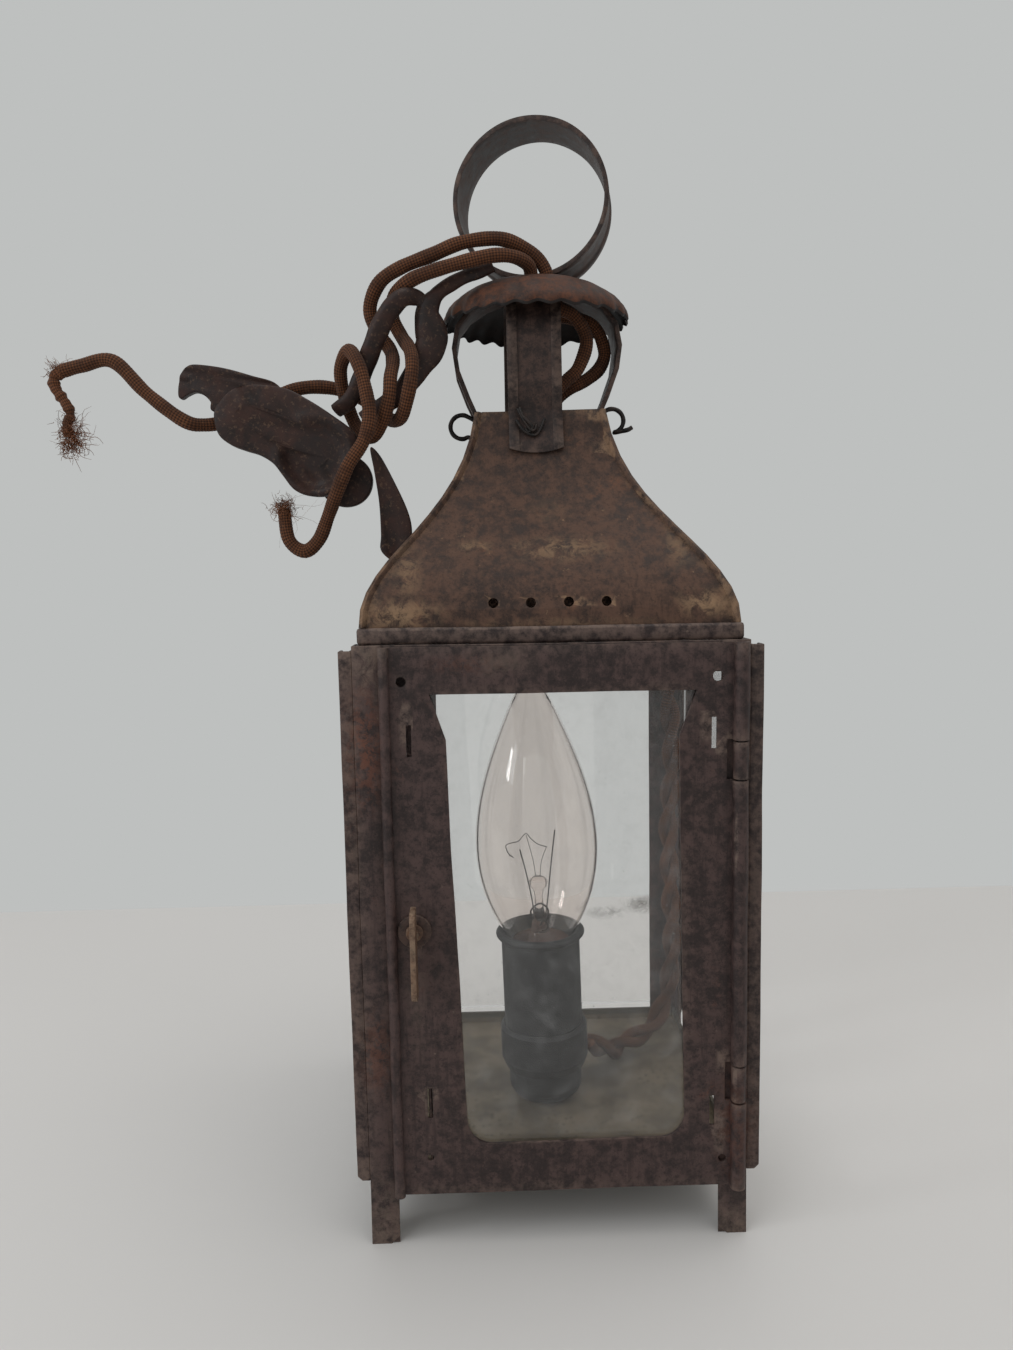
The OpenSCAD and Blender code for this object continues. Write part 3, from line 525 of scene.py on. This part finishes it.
def look(location, forward, roll):
    """Camera matrix; roll turns the picture's right side up, in radians."""
    forward = Vector(forward).normalized()
    right = forward.cross(Vector((0, 0, 1))).normalized()
    up = right.cross(forward)
    right, up = (
        right * math.cos(roll) - up * math.sin(roll),
        up * math.cos(roll) + right * math.sin(roll),
    )
    turn = Matrix((right, up, -forward)).transposed()
    return Matrix.Translation(location) @ turn.to_4x4()


FOCAL_SHARE = 0.7373  # focal length over the picture's long side
CAMERA_PITCH = math.radians(6.36)
camera = bpy.data.objects.new("camera", bpy.data.cameras.new("camera"))
bpy.context.scene.collection.objects.link(camera)
camera.data.sensor_width = 36
camera.data.lens = 36 * FOCAL_SHARE
camera.matrix_world = look(
    (-0.0154, -0.2795, 0.1686),
    (0.0201 * math.cos(CAMERA_PITCH), 0.9998 * math.cos(CAMERA_PITCH), -math.sin(CAMERA_PITCH)),
    math.radians(1.14))
bpy.context.scene.camera = camera
bpy.context.scene.view_settings.view_transform = "Standard"


def flat_material(name, colour, roughness):
    s = Shader(name)
    tone = s.mix(s.step(s.noise(3, 2), 0.3, 0.7), colour, tuple(c * 0.97 for c in colour[:3]) + (1,))
    return s.finish(s.surface(Base_Color=tone, Roughness=roughness))


floor_mesh = bpy.data.meshes.new("floor")
FLOOR_BACK = 0.209
floor_mesh.from_pydata(
    [(-2, -2, 0), (2, -2, 0), (2, FLOOR_BACK, 0), (-2, FLOOR_BACK, 0)], [], [(0, 1, 2, 3)])
floor_mesh.materials.append(flat_material("pale_floor", srgb(208, 205, 203), 0.6))
floor = bpy.data.objects.new("floor", floor_mesh)
bpy.context.scene.collection.objects.link(floor)

world = bpy.data.worlds.new("studio")
world.use_nodes = True
background = world.node_tree.nodes["Background"]
background.inputs["Color"].default_value = srgb(190, 192, 191)
background.inputs["Strength"].default_value = 1.0
bpy.context.scene.world = world


def soft_light(name, location, target, size, power, colour=(1, 1, 1)):
    lamp = bpy.data.lights.new(name, "AREA")
    lamp.size = size
    lamp.energy = power
    lamp.color = colour
    item = bpy.data.objects.new(name, lamp)
    item.location = location
    item.rotation_euler = (Vector(target) - Vector(location)).to_track_quat("-Z", "Y").to_euler()
    bpy.context.scene.collection.objects.link(item)


MIDDLE = (0.0, 0.0, 0.12)
soft_light("window_light", (-0.7, -0.7, 0.75), MIDDLE, 0.7, 2.8, (0.93, 0.97, 1.0))
soft_light("pane_light", (-0.80, -0.30, 0.42), MIDDLE, 0.14, 0.9, (0.95, 0.98, 1.0))
soft_light("ceiling_light", (0.25, -0.1, 1.2), MIDDLE, 1.0, 5.0, (1.0, 0.98, 0.95))

# ---------------------------------------------------------------- cords and the strap tied in with them

CORD_D = 0.0036
UPPER_ROUTE = [
    (0.0022, -0.0092, 0.2044), (0.0024, -0.0094, 0.209), (0.0044, -0.009, 0.2134),
    (0.0076, -0.0078, 0.2168), (0.011, -0.0068, 0.2204), (0.0132, -0.0064, 0.2276),
    (0.0098, -0.0084, 0.2332), (0.0054, -0.01, 0.2352), (0.0028, -0.011, 0.2379),
    (0.0025, -0.011, 0.2434), (-0.0002, -0.0117, 0.2474), (-0.0056, -0.0136, 0.2502),
    (-0.011, -0.0154, 0.251), (-0.0195, -0.0162, 0.2498), (-0.027, -0.016, 0.247),
    (-0.035, -0.016, 0.244), (-0.0405, -0.0155, 0.2405), (-0.0434, -0.013, 0.235),
    (-0.042, -0.0122, 0.2295), (-0.0386, -0.0126, 0.2245), (-0.0376, -0.017, 0.2205),
    (-0.038, -0.021, 0.216), (-0.0385, -0.0215, 0.211), (-0.0406, -0.019, 0.2054),
    (-0.044, -0.015, 0.202), (-0.048, -0.011, 0.205), (-0.051, -0.011, 0.213), (-0.0514, -0.014, 0.2195),
    (-0.0486, -0.018, 0.2232), (-0.0458, -0.022, 0.219), (-0.044, -0.023, 0.212),
    (-0.0434, -0.0234, 0.206), (-0.045, -0.024, 0.2), (-0.049, -0.0245, 0.194), (-0.052, -0.0234, 0.188),
    (-0.055, -0.02, 0.182), (-0.058, -0.018, 0.176), (-0.062, -0.017, 0.173), (-0.066, -0.017, 0.176),
    (-0.067, -0.017, 0.184),
]
LOWER_ROUTE = [
    (0.0034, -0.0042, 0.2044), (0.0034, -0.0042, 0.2086), (0.005, -0.0042, 0.2124),
    (0.0088, -0.0036, 0.2154), (0.0136, -0.002, 0.218), (0.0174, -0.0006, 0.2214), (0.0187, 0.0, 0.226),
    (0.0158, -0.0014, 0.232), (0.009, -0.0036, 0.234), (0.0022, -0.0066, 0.2344),
    (-0.0012, -0.0104, 0.2362), (-0.0016, -0.012, 0.2395), (-0.0016, -0.012, 0.243),
    (-0.0026, -0.0138, 0.2451), (-0.0062, -0.017, 0.246), (-0.011, -0.0184, 0.246),
    (-0.018, -0.0188, 0.2446), (-0.027, -0.0188, 0.2422), (-0.033, -0.0176, 0.2401),
    (-0.037, -0.014, 0.2374), (-0.0376, -0.0118, 0.2325), (-0.0354, -0.0126, 0.2276),
    (-0.033, -0.019, 0.223), (-0.0324, -0.0222, 0.218), (-0.0335, -0.022, 0.212),
    (-0.036, -0.018, 0.2064), (-0.04, -0.01, 0.2074), (-0.046, -0.007, 0.2125), (-0.053, -0.0075, 0.2155),
    (-0.06, -0.009, 0.216), (-0.067, -0.0095, 0.2145), (-0.075, -0.0095, 0.2105),
    (-0.081, -0.011, 0.2075), (-0.087, -0.014, 0.206), (-0.092, -0.016, 0.207), (-0.101, -0.016, 0.214),
    (-0.109, -0.016, 0.222), (-0.117, -0.016, 0.221), (-0.123, -0.016, 0.2195),
]
PAIR_ROUTE = [
    (0.0118, 0.002, 0.0275), (0.016, 0.005, 0.024), (0.02, 0.0095, 0.0205), (0.027, 0.018, 0.0195),
    (0.034, 0.022, 0.021), (0.0386, 0.0246, 0.028), (0.041, 0.025, 0.038), (0.0416, 0.025, 0.05),
    (0.041, 0.025, 0.068), (0.0405, 0.025, 0.088), (0.0416, 0.025, 0.107), (0.0406, 0.025, 0.126),
    (0.039, 0.027, 0.136), (0.035, 0.026, 0.15), (0.03, 0.021, 0.164), (0.0225, 0.012, 0.176),
    (0.0135, 0.002, 0.187), (0.008, -0.004, 0.196), (0.0038, -0.0066, 0.202), (0.0034, -0.0068, 0.204),
]
LONG_STRAP = [
    (-0.0115, -0.0146, 0.2444), (-0.0145, -0.0148, 0.2432), (-0.018, -0.0148, 0.2422),
    (-0.022, -0.0146, 0.2404), (-0.026, -0.0156, 0.2374), (-0.0285, -0.016, 0.233),
    (-0.0276, -0.016, 0.226), (-0.0305, -0.0165, 0.22), (-0.036, -0.0165, 0.213),
    (-0.041, -0.0165, 0.2095), (-0.046, -0.016, 0.2065),
]
SHORT_STRAP = [
    (-0.0314, -0.0174, 0.2364), (-0.0348, -0.02, 0.2354), (-0.039, -0.0194, 0.231),
    (-0.0426, -0.0184, 0.224), (-0.046, -0.0165, 0.2165), (-0.049, -0.016, 0.2114),
    (-0.053, -0.014, 0.209),
]

upper_cord, upper_path, upper_length = braided_cord("cord_upper", UPPER_ROUTE, CORD_D, "root", "flex_upper")
lower_cord, lower_path, lower_length = braided_cord("cord_lower", LOWER_ROUTE, CORD_D, "root", "flex_lower")

# ---------------------------------------------------------------- frayed ends

def fibres(name, seed, count, start, spread, reach, lean, thickness=0.085 * MM):
    """A tuft of fine fibres that curl away from round start, mostly towards lean."""
    pick = random.Random(seed)
    verts, faces = [], []
    for _ in range(count):
        point = Vector(start) + Vector([pick.gauss(0, s) for s in spread])
        heading = (Vector(lean) + Vector([pick.gauss(0, 0.75) for _ in range(3)])).normalized()
        curl = Vector([pick.gauss(0, 0.5) for _ in range(3)])
        length = reach * pick.uniform(0.35, 1.0)
        steps = 7
        for k in range(steps + 1):
            side = heading.cross(Vector((0.3, 1, 0.2))).normalized()
            other = heading.cross(side)
            wide = thickness * (1 - 0.6 * k / steps)
            base = len(verts)
            verts += [point + side * wide, point - side * wide * 0.5 + other * wide, point - other * wide]
            if k:
                for n in range(3):
                    m = (n + 1) % 3
                    faces.append((base - 3 + n, base - 3 + m, base + m, base + n))
            point = point + heading * (length / steps)
            turn = curl + Vector([pick.gauss(0, 0.6) for _ in range(3)])
            heading = (heading + turn * 0.45).normalized()
    mesh = bpy.data.meshes.new(name)
    mesh.from_pydata([tuple(v) for v in verts], [], faces)
    return add_piece(name, mesh, "root", "braided_cotton", look="frayed_cotton")


def frayed_tail(name, route, start_radius, end_radius):
    """The last of the cotton, thin and lumpy, where the core has been cut away."""
    path, along = spline(route, 0.3 * MM)

    def radius(i, angles):
        share = along[i] / along[-1]
        lumps = 0.22 * math.sin(along[i] / MM * 1.9) + 0.18 * math.sin(along[i] / MM * 3.3 + 2)
        flutes = 0.14 * np.sin(5 * angles + along[i] / MM * 1.1)
        return start_radius + (end_radius - start_radius) * share + (lumps + flutes) * 0.6 * MM

    uv = (along / MM, np.linspace(0, 1, 25))
    return add_piece(name, swept(name, path, radius, 24, uv), "root", "braided_cotton", look="frayed_cotton")


LOWER_END = Vector(LOWER_ROUTE[-1])
TAIL_ROUTE = [
    (-0.1222, -0.0160, 0.2196), (-0.1240, -0.0162, 0.2180), (-0.1236, -0.0164, 0.2150),
    (-0.1216, -0.0164, 0.2120), (-0.1206, -0.0162, 0.2090), (-0.1216, -0.0160, 0.2062),
    (-0.1216, -0.0160, 0.2035),
]
UPPER_END = Vector(UPPER_ROUTE[-1])
TAIL_END = Vector(TAIL_ROUTE[-1])
lower_frays = [
    frayed_tail("lower_tail", TAIL_ROUTE, 1.5 * MM, 1.1 * MM),
    fibres("lower_fray_fold", 3, 110, LOWER_END, (0.0012, 0.0009, 0.0009), 4 * MM, (-0.35, -0.1, 0.9)),
    fibres("lower_fray_end", 5, 260, TAIL_END + Vector((0.0012, 0, 0)), (0.0017, 0.001, 0.0024), 4.6 * MM,
           (0.5, -0.1, 0.1)),
    fibres("lower_fray_core", 8, 260, TAIL_END + Vector((0.0004, 0, -0.001)), (0.0012, 0.001, 0.0022), 3 * MM,
           (0.1, 0, -0.5)),
]
upper_frays = [
    fibres("upper_fray_end", 11, 300, UPPER_END, (0.0014, 0.0013, 0.0011), 3.4 * MM, (0.1, -0.2, 0.4)),
    fibres("upper_fray_hairs", 14, 7, UPPER_END + Vector((0.001, 0, -0.001)), (0.001, 0.001, 0.002), 15 * MM,
           (1.2, 0, -0.2), 0.04 * MM),
]

# ---------------------------------------------------------------- the dark strap tied in with the cords

def strap(name, route, half_width, half_depth, node):
    """A flattened thong; half_width and half_depth are given along the route and blended between."""
    path, along = spline(route, 0.5 * MM)
    share = along / along[-1]
    wide = np.interp(share, np.linspace(0, 1, len(half_width)), half_width) * MM
    deep = np.interp(share, np.linspace(0, 1, len(half_depth)), half_depth) * MM

    def radius(i, angles):
        crease = 1 - 0.10 * np.exp(-((angles - 4.4) / 0.35) ** 2) - 0.06 * np.exp(-((angles - 1.2) / 0.3) ** 2)
        crease = crease + 0.035 * math.sin(along[i] / MM * 0.9 + len(name))
        return deep[i] * crease, wide[i] * crease

    return add_piece(name, swept(name, path, radius, 28), "root", "old_leather", node)


def closed_outline(points, count):
    """A smooth closed curve in the XZ plane through points given in millimetres."""
    p = np.asarray(points, float) * MM
    p = np.vstack([p[-1:], p, p[:2]])
    curve = []
    for a, b, c, d in zip(p[:-3], p[1:-2], p[2:-1], p[3:]):
        u = np.linspace(0, 1, 16, endpoint=False)[:, None]
        curve.append(0.5 * (
            2 * b + (c - a) * u + (2 * a - 5 * b + 4 * c - d) * u ** 2 + (3 * b - a - 3 * c + d) * u ** 3))
    curve = np.vstack(curve)
    pick = np.linspace(0, len(curve), count, endpoint=False).astype(int)
    return curve[pick]


def crowned_plate(name, outline, spine, y, thick, relief=None):
    """A thick lobed piece of hide: its outline, drawn in to a line inside it, with both faces crowned.

    relief(x, z) lowers the front face, in metres, and fades out at the rim.
    """
    rim = closed_outline(outline, 180)
    a, b = np.array(spine[0]) * MM, np.array(spine[1]) * MM
    share = np.clip((rim - a) @ (b - a) / np.dot(b - a, b - a), 0, 1)[:, None]
    middle = a + share * (b - a)
    rings = []
    levels = [math.cos(math.pi * k / 40) for k in range(1, 20)]
    for front in (1, -1):
        for level in (levels[::-1] if front > 0 else [1.0] + levels):
            flat = middle + (rim - middle) * math.sqrt(1 - (1 - level) ** 2)
            swell = thick * MM / 2 * (1 - level ** 6) ** 0.5
            low = np.array([relief(x, z) for x, z in flat]) if relief and front > 0 else 0.0
            depth = y * MM - front * (swell - low * (1 - level ** 8))
            rings.append(np.stack([flat[:, 0], np.broadcast_to(depth, len(flat)), flat[:, 1]], -1))
    return mesh_from_rings(name, rings[::-1])


def pad_relief(x, z):
    """A round recess with a raised rim on the right lobe, and a groove across the waist."""
    away = math.hypot(x + 0.058, z - 0.197)
    recess = 1.5 * MM / (1 + math.exp((away - 0.0078) / 0.0005))
    rim = -0.6 * MM * math.exp(-((away - 0.0094) / 0.0013) ** 2)
    across = (x + 0.0705) * 0.83 + (z - 0.2060) * 0.55
    groove = 1.9 * MM * math.exp(-(across / 0.0024) ** 2)
    second = 1.0 * MM * math.exp(-((across - 0.0062) / 0.0018) ** 2)
    dome = -0.8 * MM * math.exp(-((x + 0.078) ** 2 + (z - 0.206) ** 2) / 0.0055 ** 2)
    return recess + rim + groove + second + dome + 0.25 * MM * noise.noise(Vector((x * 160, 3, z * 160)))


def leaf_relief(x, z):
    """A long soft hollow down the spoon-shaped end."""
    middle = -0.0425 + 0.0045 * (0.197 - z) / 0.026
    return 0.9 * MM * math.exp(-((x - middle) / 0.0016) ** 2)


def tongue_relief(x, z):
    """Two shallow grooves along the upper tongue."""
    height = z - (0.2175 - 0.16 * (x + 0.088))
    return 0.5 * MM * math.exp(-((height - 0.0012) / 0.0008) ** 2) + 0.5 * MM * math.exp(-((height + 0.0014) / 0.0008) ** 2)


long_strap = strap(
    "strap_long", LONG_STRAP, [1.5, 1.8, 1.9, 2.0, 3.5, 4.4, 3.6, 2.8, 2.5, 2.3, 2.0],
    [0.9, 1.0, 1.2, 1.5, 2.2, 2.2, 1.6, 1.4, 1.4, 1.2, 1.1], "tie_strap_long")
HOOKED_END = (-0.0288, -0.0162, 0.2350)  # the short strap's end, tucked behind the long one
short_strap = strap(
    "strap_short", [HOOKED_END] + SHORT_STRAP, [1.9, 2.4, 2.6, 2.6, 2.4, 2.2, 2.0],
    [1.2, 1.4, 1.5, 1.5, 1.4, 1.2, 1.1], "tie_strap_short")
PAD_OUTLINE = [
    (-83, 207), (-82, 210), (-78, 214), (-73, 215), (-65, 214), (-59, 211), (-53, 207), (-48, 203), (-46.6, 199),
    (-48.6, 194.4), (-51.5, 190), (-55, 187), (-60, 187), (-63.6, 188.6), (-66.2, 192), (-68.6, 195.2), (-72, 197.4),
    (-75.6, 198.6), (-79, 200), (-82, 202.6),
]
TONGUE_OUTLINE = [
    (-93, 213.2), (-92.8, 216), (-92.2, 218.6), (-90.6, 220.4), (-88, 221), (-81, 220), (-74, 218), (-68, 216),
    (-66, 212), (-72, 209.6), (-78, 208.8), (-84.4, 209.2), (-84.8, 211.4), (-86.4, 213.2), (-88.6, 214),
    (-90.8, 213.2), (-92.2, 212.4),
]
LEAF_OUTLINE = [
    (-44, 199), (-43.2, 193), (-42.2, 185), (-42, 177), (-42.2, 173), (-40, 170.4), (-37, 168.8), (-34.6, 172),
    (-34, 178), (-35, 183), (-38, 190), (-41.6, 197),
]
DISC_OUTLINE = [
    (-51 + 7 * math.cos(math.radians(a)), 191 + 6.8 * math.sin(math.radians(a))) for a in range(0, 360, 30)]
pad = add_piece("strap_pad", crowned_plate(
    "strap_pad", PAD_OUTLINE, ((-74, 207), (-58, 199)), -18.6, 4.4, pad_relief),
    "root", "old_leather", "tie_strap_pads")
disc = add_piece("strap_disc", crowned_plate(
    "strap_disc", DISC_OUTLINE, ((-52, 191), (-50, 191)), -14.2, 3.2), "root", "old_leather")
tongue = add_piece("strap_tongue", crowned_plate(
    "strap_tongue", TONGUE_OUTLINE, ((-88, 217.4), (-70, 213.2)), -14.6, 2.8, tongue_relief),
    "root", "old_leather", "tie_strap_tails")
leaf = add_piece("strap_leaf", crowned_plate(
    "strap_leaf", LEAF_OUTLINE, ((-42.8, 195), (-38.2, 173)), -17.4, 2.8, leaf_relief), "root", "old_leather")

# ---------------------------------------------------------------- flex inside the lantern

def twisted_pair(name, route, node, strand=1.55 * MM, pitch=24 * MM):
    """Two braided cores laid round each other."""
    path, along = spline(route, 0.5 * MM)
    side, up = frames(path)
    for core in range(2):
        angle = 2 * math.pi * along / pitch + math.pi * core
        centre = path + strand * (side * np.cos(angle)[:, None] + up * np.sin(angle)[:, None])
        turn = 2 * math.pi / BRAID_PITCH_MM

        def radius(i, angles):
            s = along[i] / MM
            relief = np.cos(BRAID_CARRIERS * angles + s * turn) * np.cos(BRAID_CARRIERS * angles - s * turn)
            return strand - 0.05 * MM + 0.07 * MM * relief

        uv = (along / MM, np.linspace(0, 1, 33))
        mesh = swept(f"{name}_{core + 1}", centre, radius, 32, uv)
        add_piece(f"{name}_{core + 1}", mesh, "root", "braided_cotton", *([node] if core == 0 else []))


twisted_pair("flex_core", PAIR_ROUTE, "flex_pair_inner")

# ---------------------------------------------------------------- wires

def wire(name, route, thickness, slot, body, node=None, lumps=0.04):
    path, along = spline(route, 0.35 * MM)

    def radius(i, angles):
        return np.full(len(angles), thickness * (1 + lumps * math.sin(along[i] / MM * 2.3)))

    mesh = swept(name, path, radius, 14)
    return add_piece(name, mesh, body, slot, *([node] if node else []))


def arc_points(centre, radius, start, end, count):
    """Points on an arc in the XZ plane; angles in degrees from +X towards +Z."""
    angles = [math.radians(start + (end - start) * i / (count - 1)) for i in range(count)]
    return [(centre[0] + radius * math.cos(a), centre[1], centre[2] + radius * math.sin(a)) for a in angles]


def loop_centre(node):
    low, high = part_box(node)
    return tuple((a + b) / 2 for a, b in zip(low, high))


LOOP_R = 3.2 * MM
left_eye = loop_centre("wire_loop_left")
right_eye = loop_centre("wire_loop_right")
wire("loop_left", [(left_eye[0] + 0.0038, 0.0, left_eye[2] + 0.0016)] + arc_points(left_eye, LOOP_R, 55, 300, 12)
     + [(left_eye[0] + 0.0032, -0.0004, left_eye[2] - 0.0034)], 0.62 * MM, "iron_wire", "root", "wire_loop_left")
wire("loop_right", [(right_eye[0] - 0.0036, 0.0, right_eye[2] - 0.0034)] + arc_points(right_eye, LOOP_R, 255, -80, 16)
     + [(right_eye[0] + 0.0040, -0.0012, right_eye[2] - 0.0027), (right_eye[0] + 0.0054, -0.0012, right_eye[2] - 0.0020)],
     0.62 * MM, "iron_wire", "root", "wire_loop_right")


def tie(name, turn, node):
    """Thin dark wire pushed through the strap's foot and twisted: two strands, a small eye and loose ends."""
    def place(x, y, z):
        return (x * turn * MM, y * turn * MM, z * MM)
    strands = [
        [(-6.0, -18.4, 208.2), (-5.0, -18.8, 206.0), (-3.6, -19.0, 203.8), (-2.6, -19.0, 202.6),
         (-1.6, -18.8, 202.8), (-1.2, -18.2, 204.2)],
        [(-5.4, -18.4, 208.6), (-4.6, -18.9, 206.2), (-3.0, -19.2, 204.4), (-2.2, -19.0, 203.2),
         (-3.2, -18.8, 202.2), (-4.0, -18.6, 203.0)],
        [(-6.4, -18.3, 205.4), (-5.2, -18.7, 203.4), (-3.8, -18.8, 202.0), (-1.6, -18.6, 201.4),
         (-0.2, -18.4, 202.8), (1.0, -18.3, 205.6)],
    ]
    for number, points in enumerate(strands):
        route = [place(*p) for p in points]
        wire(f"{name}_{number + 1}", route, 0.38 * MM, "iron_wire", "root", node if number == 0 else None)


tie("tie_front", 1, "wire_tie_front")
tie("tie_rear", -1, "wire_tie_rear")

# ---------------------------------------------------------------- smoke cap

def crimped_cap(name, node):
    """Domed cap with a fluted, slightly ragged skirt; its underside is painted near black as shade."""
    low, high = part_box(node)
    top = high[2]
    rim_r = (high[0] - low[0]) / 2
    flutes, sides = 26, 26 * 10
    angles = np.linspace(0, 2 * math.pi, sides, endpoint=False)
    wave = np.cos(flutes * angles + 0.6 * np.sin(3 * angles))
    ragged = np.array([noise.noise(Vector((math.cos(a) * 2.2, math.sin(a) * 2.2, 5))) for a in angles])
    outer = [
        (0.0013, 0.0, 0), (0.004, 0.0, 0), (0.009, 0.0, 0), (0.012, 0.0001, 0), (0.0148, 0.0006, 0),
        (0.018, 0.0019, 0.02), (0.0205, 0.0034, 0.15), (0.0225, 0.0049, 0.45), (0.0238, 0.0064, 0.8),
        (rim_r - 0.0006, 0.0076, 1), (rim_r - 0.0003, 0.0086, 1), (rim_r - 0.0002, 0.0096, 1),
    ]
    sheet = 0.7 * MM
    profile = [(r, z, f, 0) for r, z, f in outer] + [(r - 0.5 * sheet, z + sheet * 0.4, f, 1) for r, z, f in outer[::-1]]
    rings = []
    for radius, drop, fluted, inside in profile:
        r = radius + fluted * (0.34 * wave - 0.1) * MM
        z = top - drop - fluted * (0.45 * wave + 0.35 * ragged) * MM * (drop > 0.007) - inside * sheet * 0.5
        dents = np.array([noise.noise(Vector((x * 90, y * 90, 1))) for x, y in zip(r * np.cos(angles), r * np.sin(angles))])
        rings.append(np.stack([r * np.cos(angles), r * np.sin(angles), z + 0.25 * MM * dents * (drop > 0)], -1))
    mesh = mesh_from_rings(name, rings, False)
    count = len(rings)
    ends = [(count - 1) * sides + k for k in range(sides)]
    holes = bmesh.new()
    holes.from_mesh(mesh)
    holes.verts.ensure_lookup_table()
    for k in range(sides):
        corners = [ends[k], ends[(k + 1) % sides], (k + 1) % sides, k]
        holes.faces.new([holes.verts[c] for c in corners])
    holes.to_mesh(mesh)
    holes.free()
    piece = add_piece(name, mesh, "root", "cap_rust", node)
    # Painted shade: the inner faces, under the cap, take the darker copy of its finish.
    mesh.materials.append(MATERIALS["cap_underside_shade"])
    mesh.polygons.foreach_set("material_index", [
        int(min(p.vertices) >= (len(outer) - 1) * sides) for p in mesh.polygons])
    smooth(mesh, 60)
    return piece


crimped_cap("crimped_cap", "smoke_cap")

# ---------------------------------------------------------------- the bulb, on the lamp's leaning axis

SCREW = JOINTS["bulb_screw"]
SCREW_Z = 50 * MM  # where the joint's point lies along the lamp's own axis


def on_lamp(x, y, z):
    """A point given in millimetres along the lamp's own axis, in the row frame."""
    lean = Vector((0, 0, 1)).rotation_difference(Vector(SCREW["axis"]))
    return Vector(SCREW["pos_m"]) + lean @ Vector((x * MM, y * MM, z * MM - SCREW_Z))


def bezier(points, share):
    p = [np.array(q, float) for q in points]
    return ((1 - share) ** 3 * p[0] + 3 * share * (1 - share) ** 2 * p[1]
            + 3 * share ** 2 * (1 - share) * p[2] + share ** 3 * p[3])


def lathe(name, profile, slot, body, *replaced, sides=96):
    angles = np.linspace(0, 2 * math.pi, sides, endpoint=False)
    rings = [[on_lamp(r * math.cos(a), r * math.sin(a), z) for a in angles] for r, z in profile]
    return add_piece(name, mesh_from_rings(name, rings), body, slot, *replaced)


SWELL = [(7, 58), (9.6, 61.2), (17.5, 72), (17.5, 88)]
TAPER = [(17.5, 88), (17.5, 108), (7, 126), (2.2, 138)]
envelope = [tuple(bezier(SWELL, i / 20)) for i in range(21)] + [tuple(bezier(TAPER, i / 28)) for i in range(1, 29)]
envelope += [(1.7, 138.7), (1.1, 139.2), (0.4, 139.45)]
inner = [(max(r - 0.6, 0.15), z - (0.5 if z > 130 else 0)) for r, z in envelope[::-1] if z < 138.5]
lathe("lamp_envelope", envelope + inner, "bulb_glass", "bulb", "bulb_glass")
STEM = [
    (5.6, 58.4), (5.0, 60), (3.4, 61.6), (2.5, 64), (1.8, 67), (1.25, 70), (1.2, 73), (1.6, 75), (2.5, 76.1),
    (2.7, 77.2), (2.3, 78.1), (1.2, 78.7), (0.3, 78.8),
]
lathe("lamp_stem", STEM, "bulb_glass", "bulb", "bulb_stem", sides=48)
CEMENT = [(0.3, 57.9), (6.6, 58.1), (8.2, 60.1), (8.0, 60.4), (6.2, 58.6), (0.3, 58.4)]
cement = lathe("lamp_cement", CEMENT, "socket_brass", "bulb")
cement.data.materials[0] = MATERIALS["cement"]


def lamp_wire(name, points, thickness, node=None):
    wire(name, [tuple(on_lamp(*p)) for p in points], thickness * MM, "lead_wire", "bulb", node, 0.0)


lamp_wire("lead_left", [(-1.4, 0, 66), (-2.0, 0, 72), (-3.2, 0.4, 79), (-4.9, 0.6, 86.7)], 0.2, "bulb_leads")
lamp_wire("lead_right", [(1.6, 0, 66), (2.6, 0, 72), (3.8, 0.4, 81), (5.4, 0.6, 92)], 0.2)
lamp_wire("lead_ring", [(-2.2, -0.6, 66.5), (-2.4, -0.8, 69), (0.2, -1, 71), (2.5, -0.8, 69), (1.6, -0.8, 66.4), (-0.6, -1, 66)], 0.26)
lamp_wire("lead_eye", [(0.4, -1.2, 63), (1.9, -1.4, 63.6), (2.2, -1.4, 65.2), (0.9, -1.4, 66), (0, -1.3, 64.6)], 0.26)
lamp_wire("support_left", [(-0.6, 0, 78.6), (-1.3, 0.3, 84), (-2.9, 0.4, 90.9)], 0.09)
lamp_wire("support_right", [(0.6, 0, 78.6), (1.2, 0.3, 83), (2.8, 0.4, 87.2)], 0.09)
lamp_wire("filament_left", [
    (-7.8, 0.4, 84.8), (-8.9, 0.2, 88.0), (-7.0, 0.5, 88.8), (-5.2, 0.4, 89.2), (-3.0, 0.6, 91.3), (-1.6, 0.4, 89.8),
    (0.4, 0.6, 88.0), (3.0, 0.4, 87.1)], 0.12)
lamp_wire("filament_left_end", [(-8.9, 0.2, 88.0), (-8.4, 0.3, 86.0), (-6.8, 0.5, 84.4)], 0.12)

# ---------------------------------------------------------------- CAD nodes, worn

RECORD_SLOT = {p["node"]: p["material_slot"] for p in frame["record"]["subparts"]}
BODY_OF = {n: body for body, names in frame["record"]["behaviour"]["bodies"].items() for n in names}
WORN_SLOTS = ("body_tin", "roof_tin", "strip_tin", "latch_rust")
WORN_EDGE = {"eave_band": 1.3 * MM}
DARKER = {"eave_band": "body_tin", "latch_washer": "strip_tin"}

for node in NODES:
    if NODES[node].hide_render:
        continue
    slot = RECORD_SLOT[node]
    if slot in WORN_SLOTS:
        look = DARKER.get(node)
        worn_piece(node, BODY_OF[node], slot, look, bevel=WORN_EDGE.get(node, 0.25 * MM))
    else:
        NODES[node].data.materials.clear()
        NODES[node].data.materials.append(MATERIALS[slot])

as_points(upper_path[::8])
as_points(lower_path[::8])
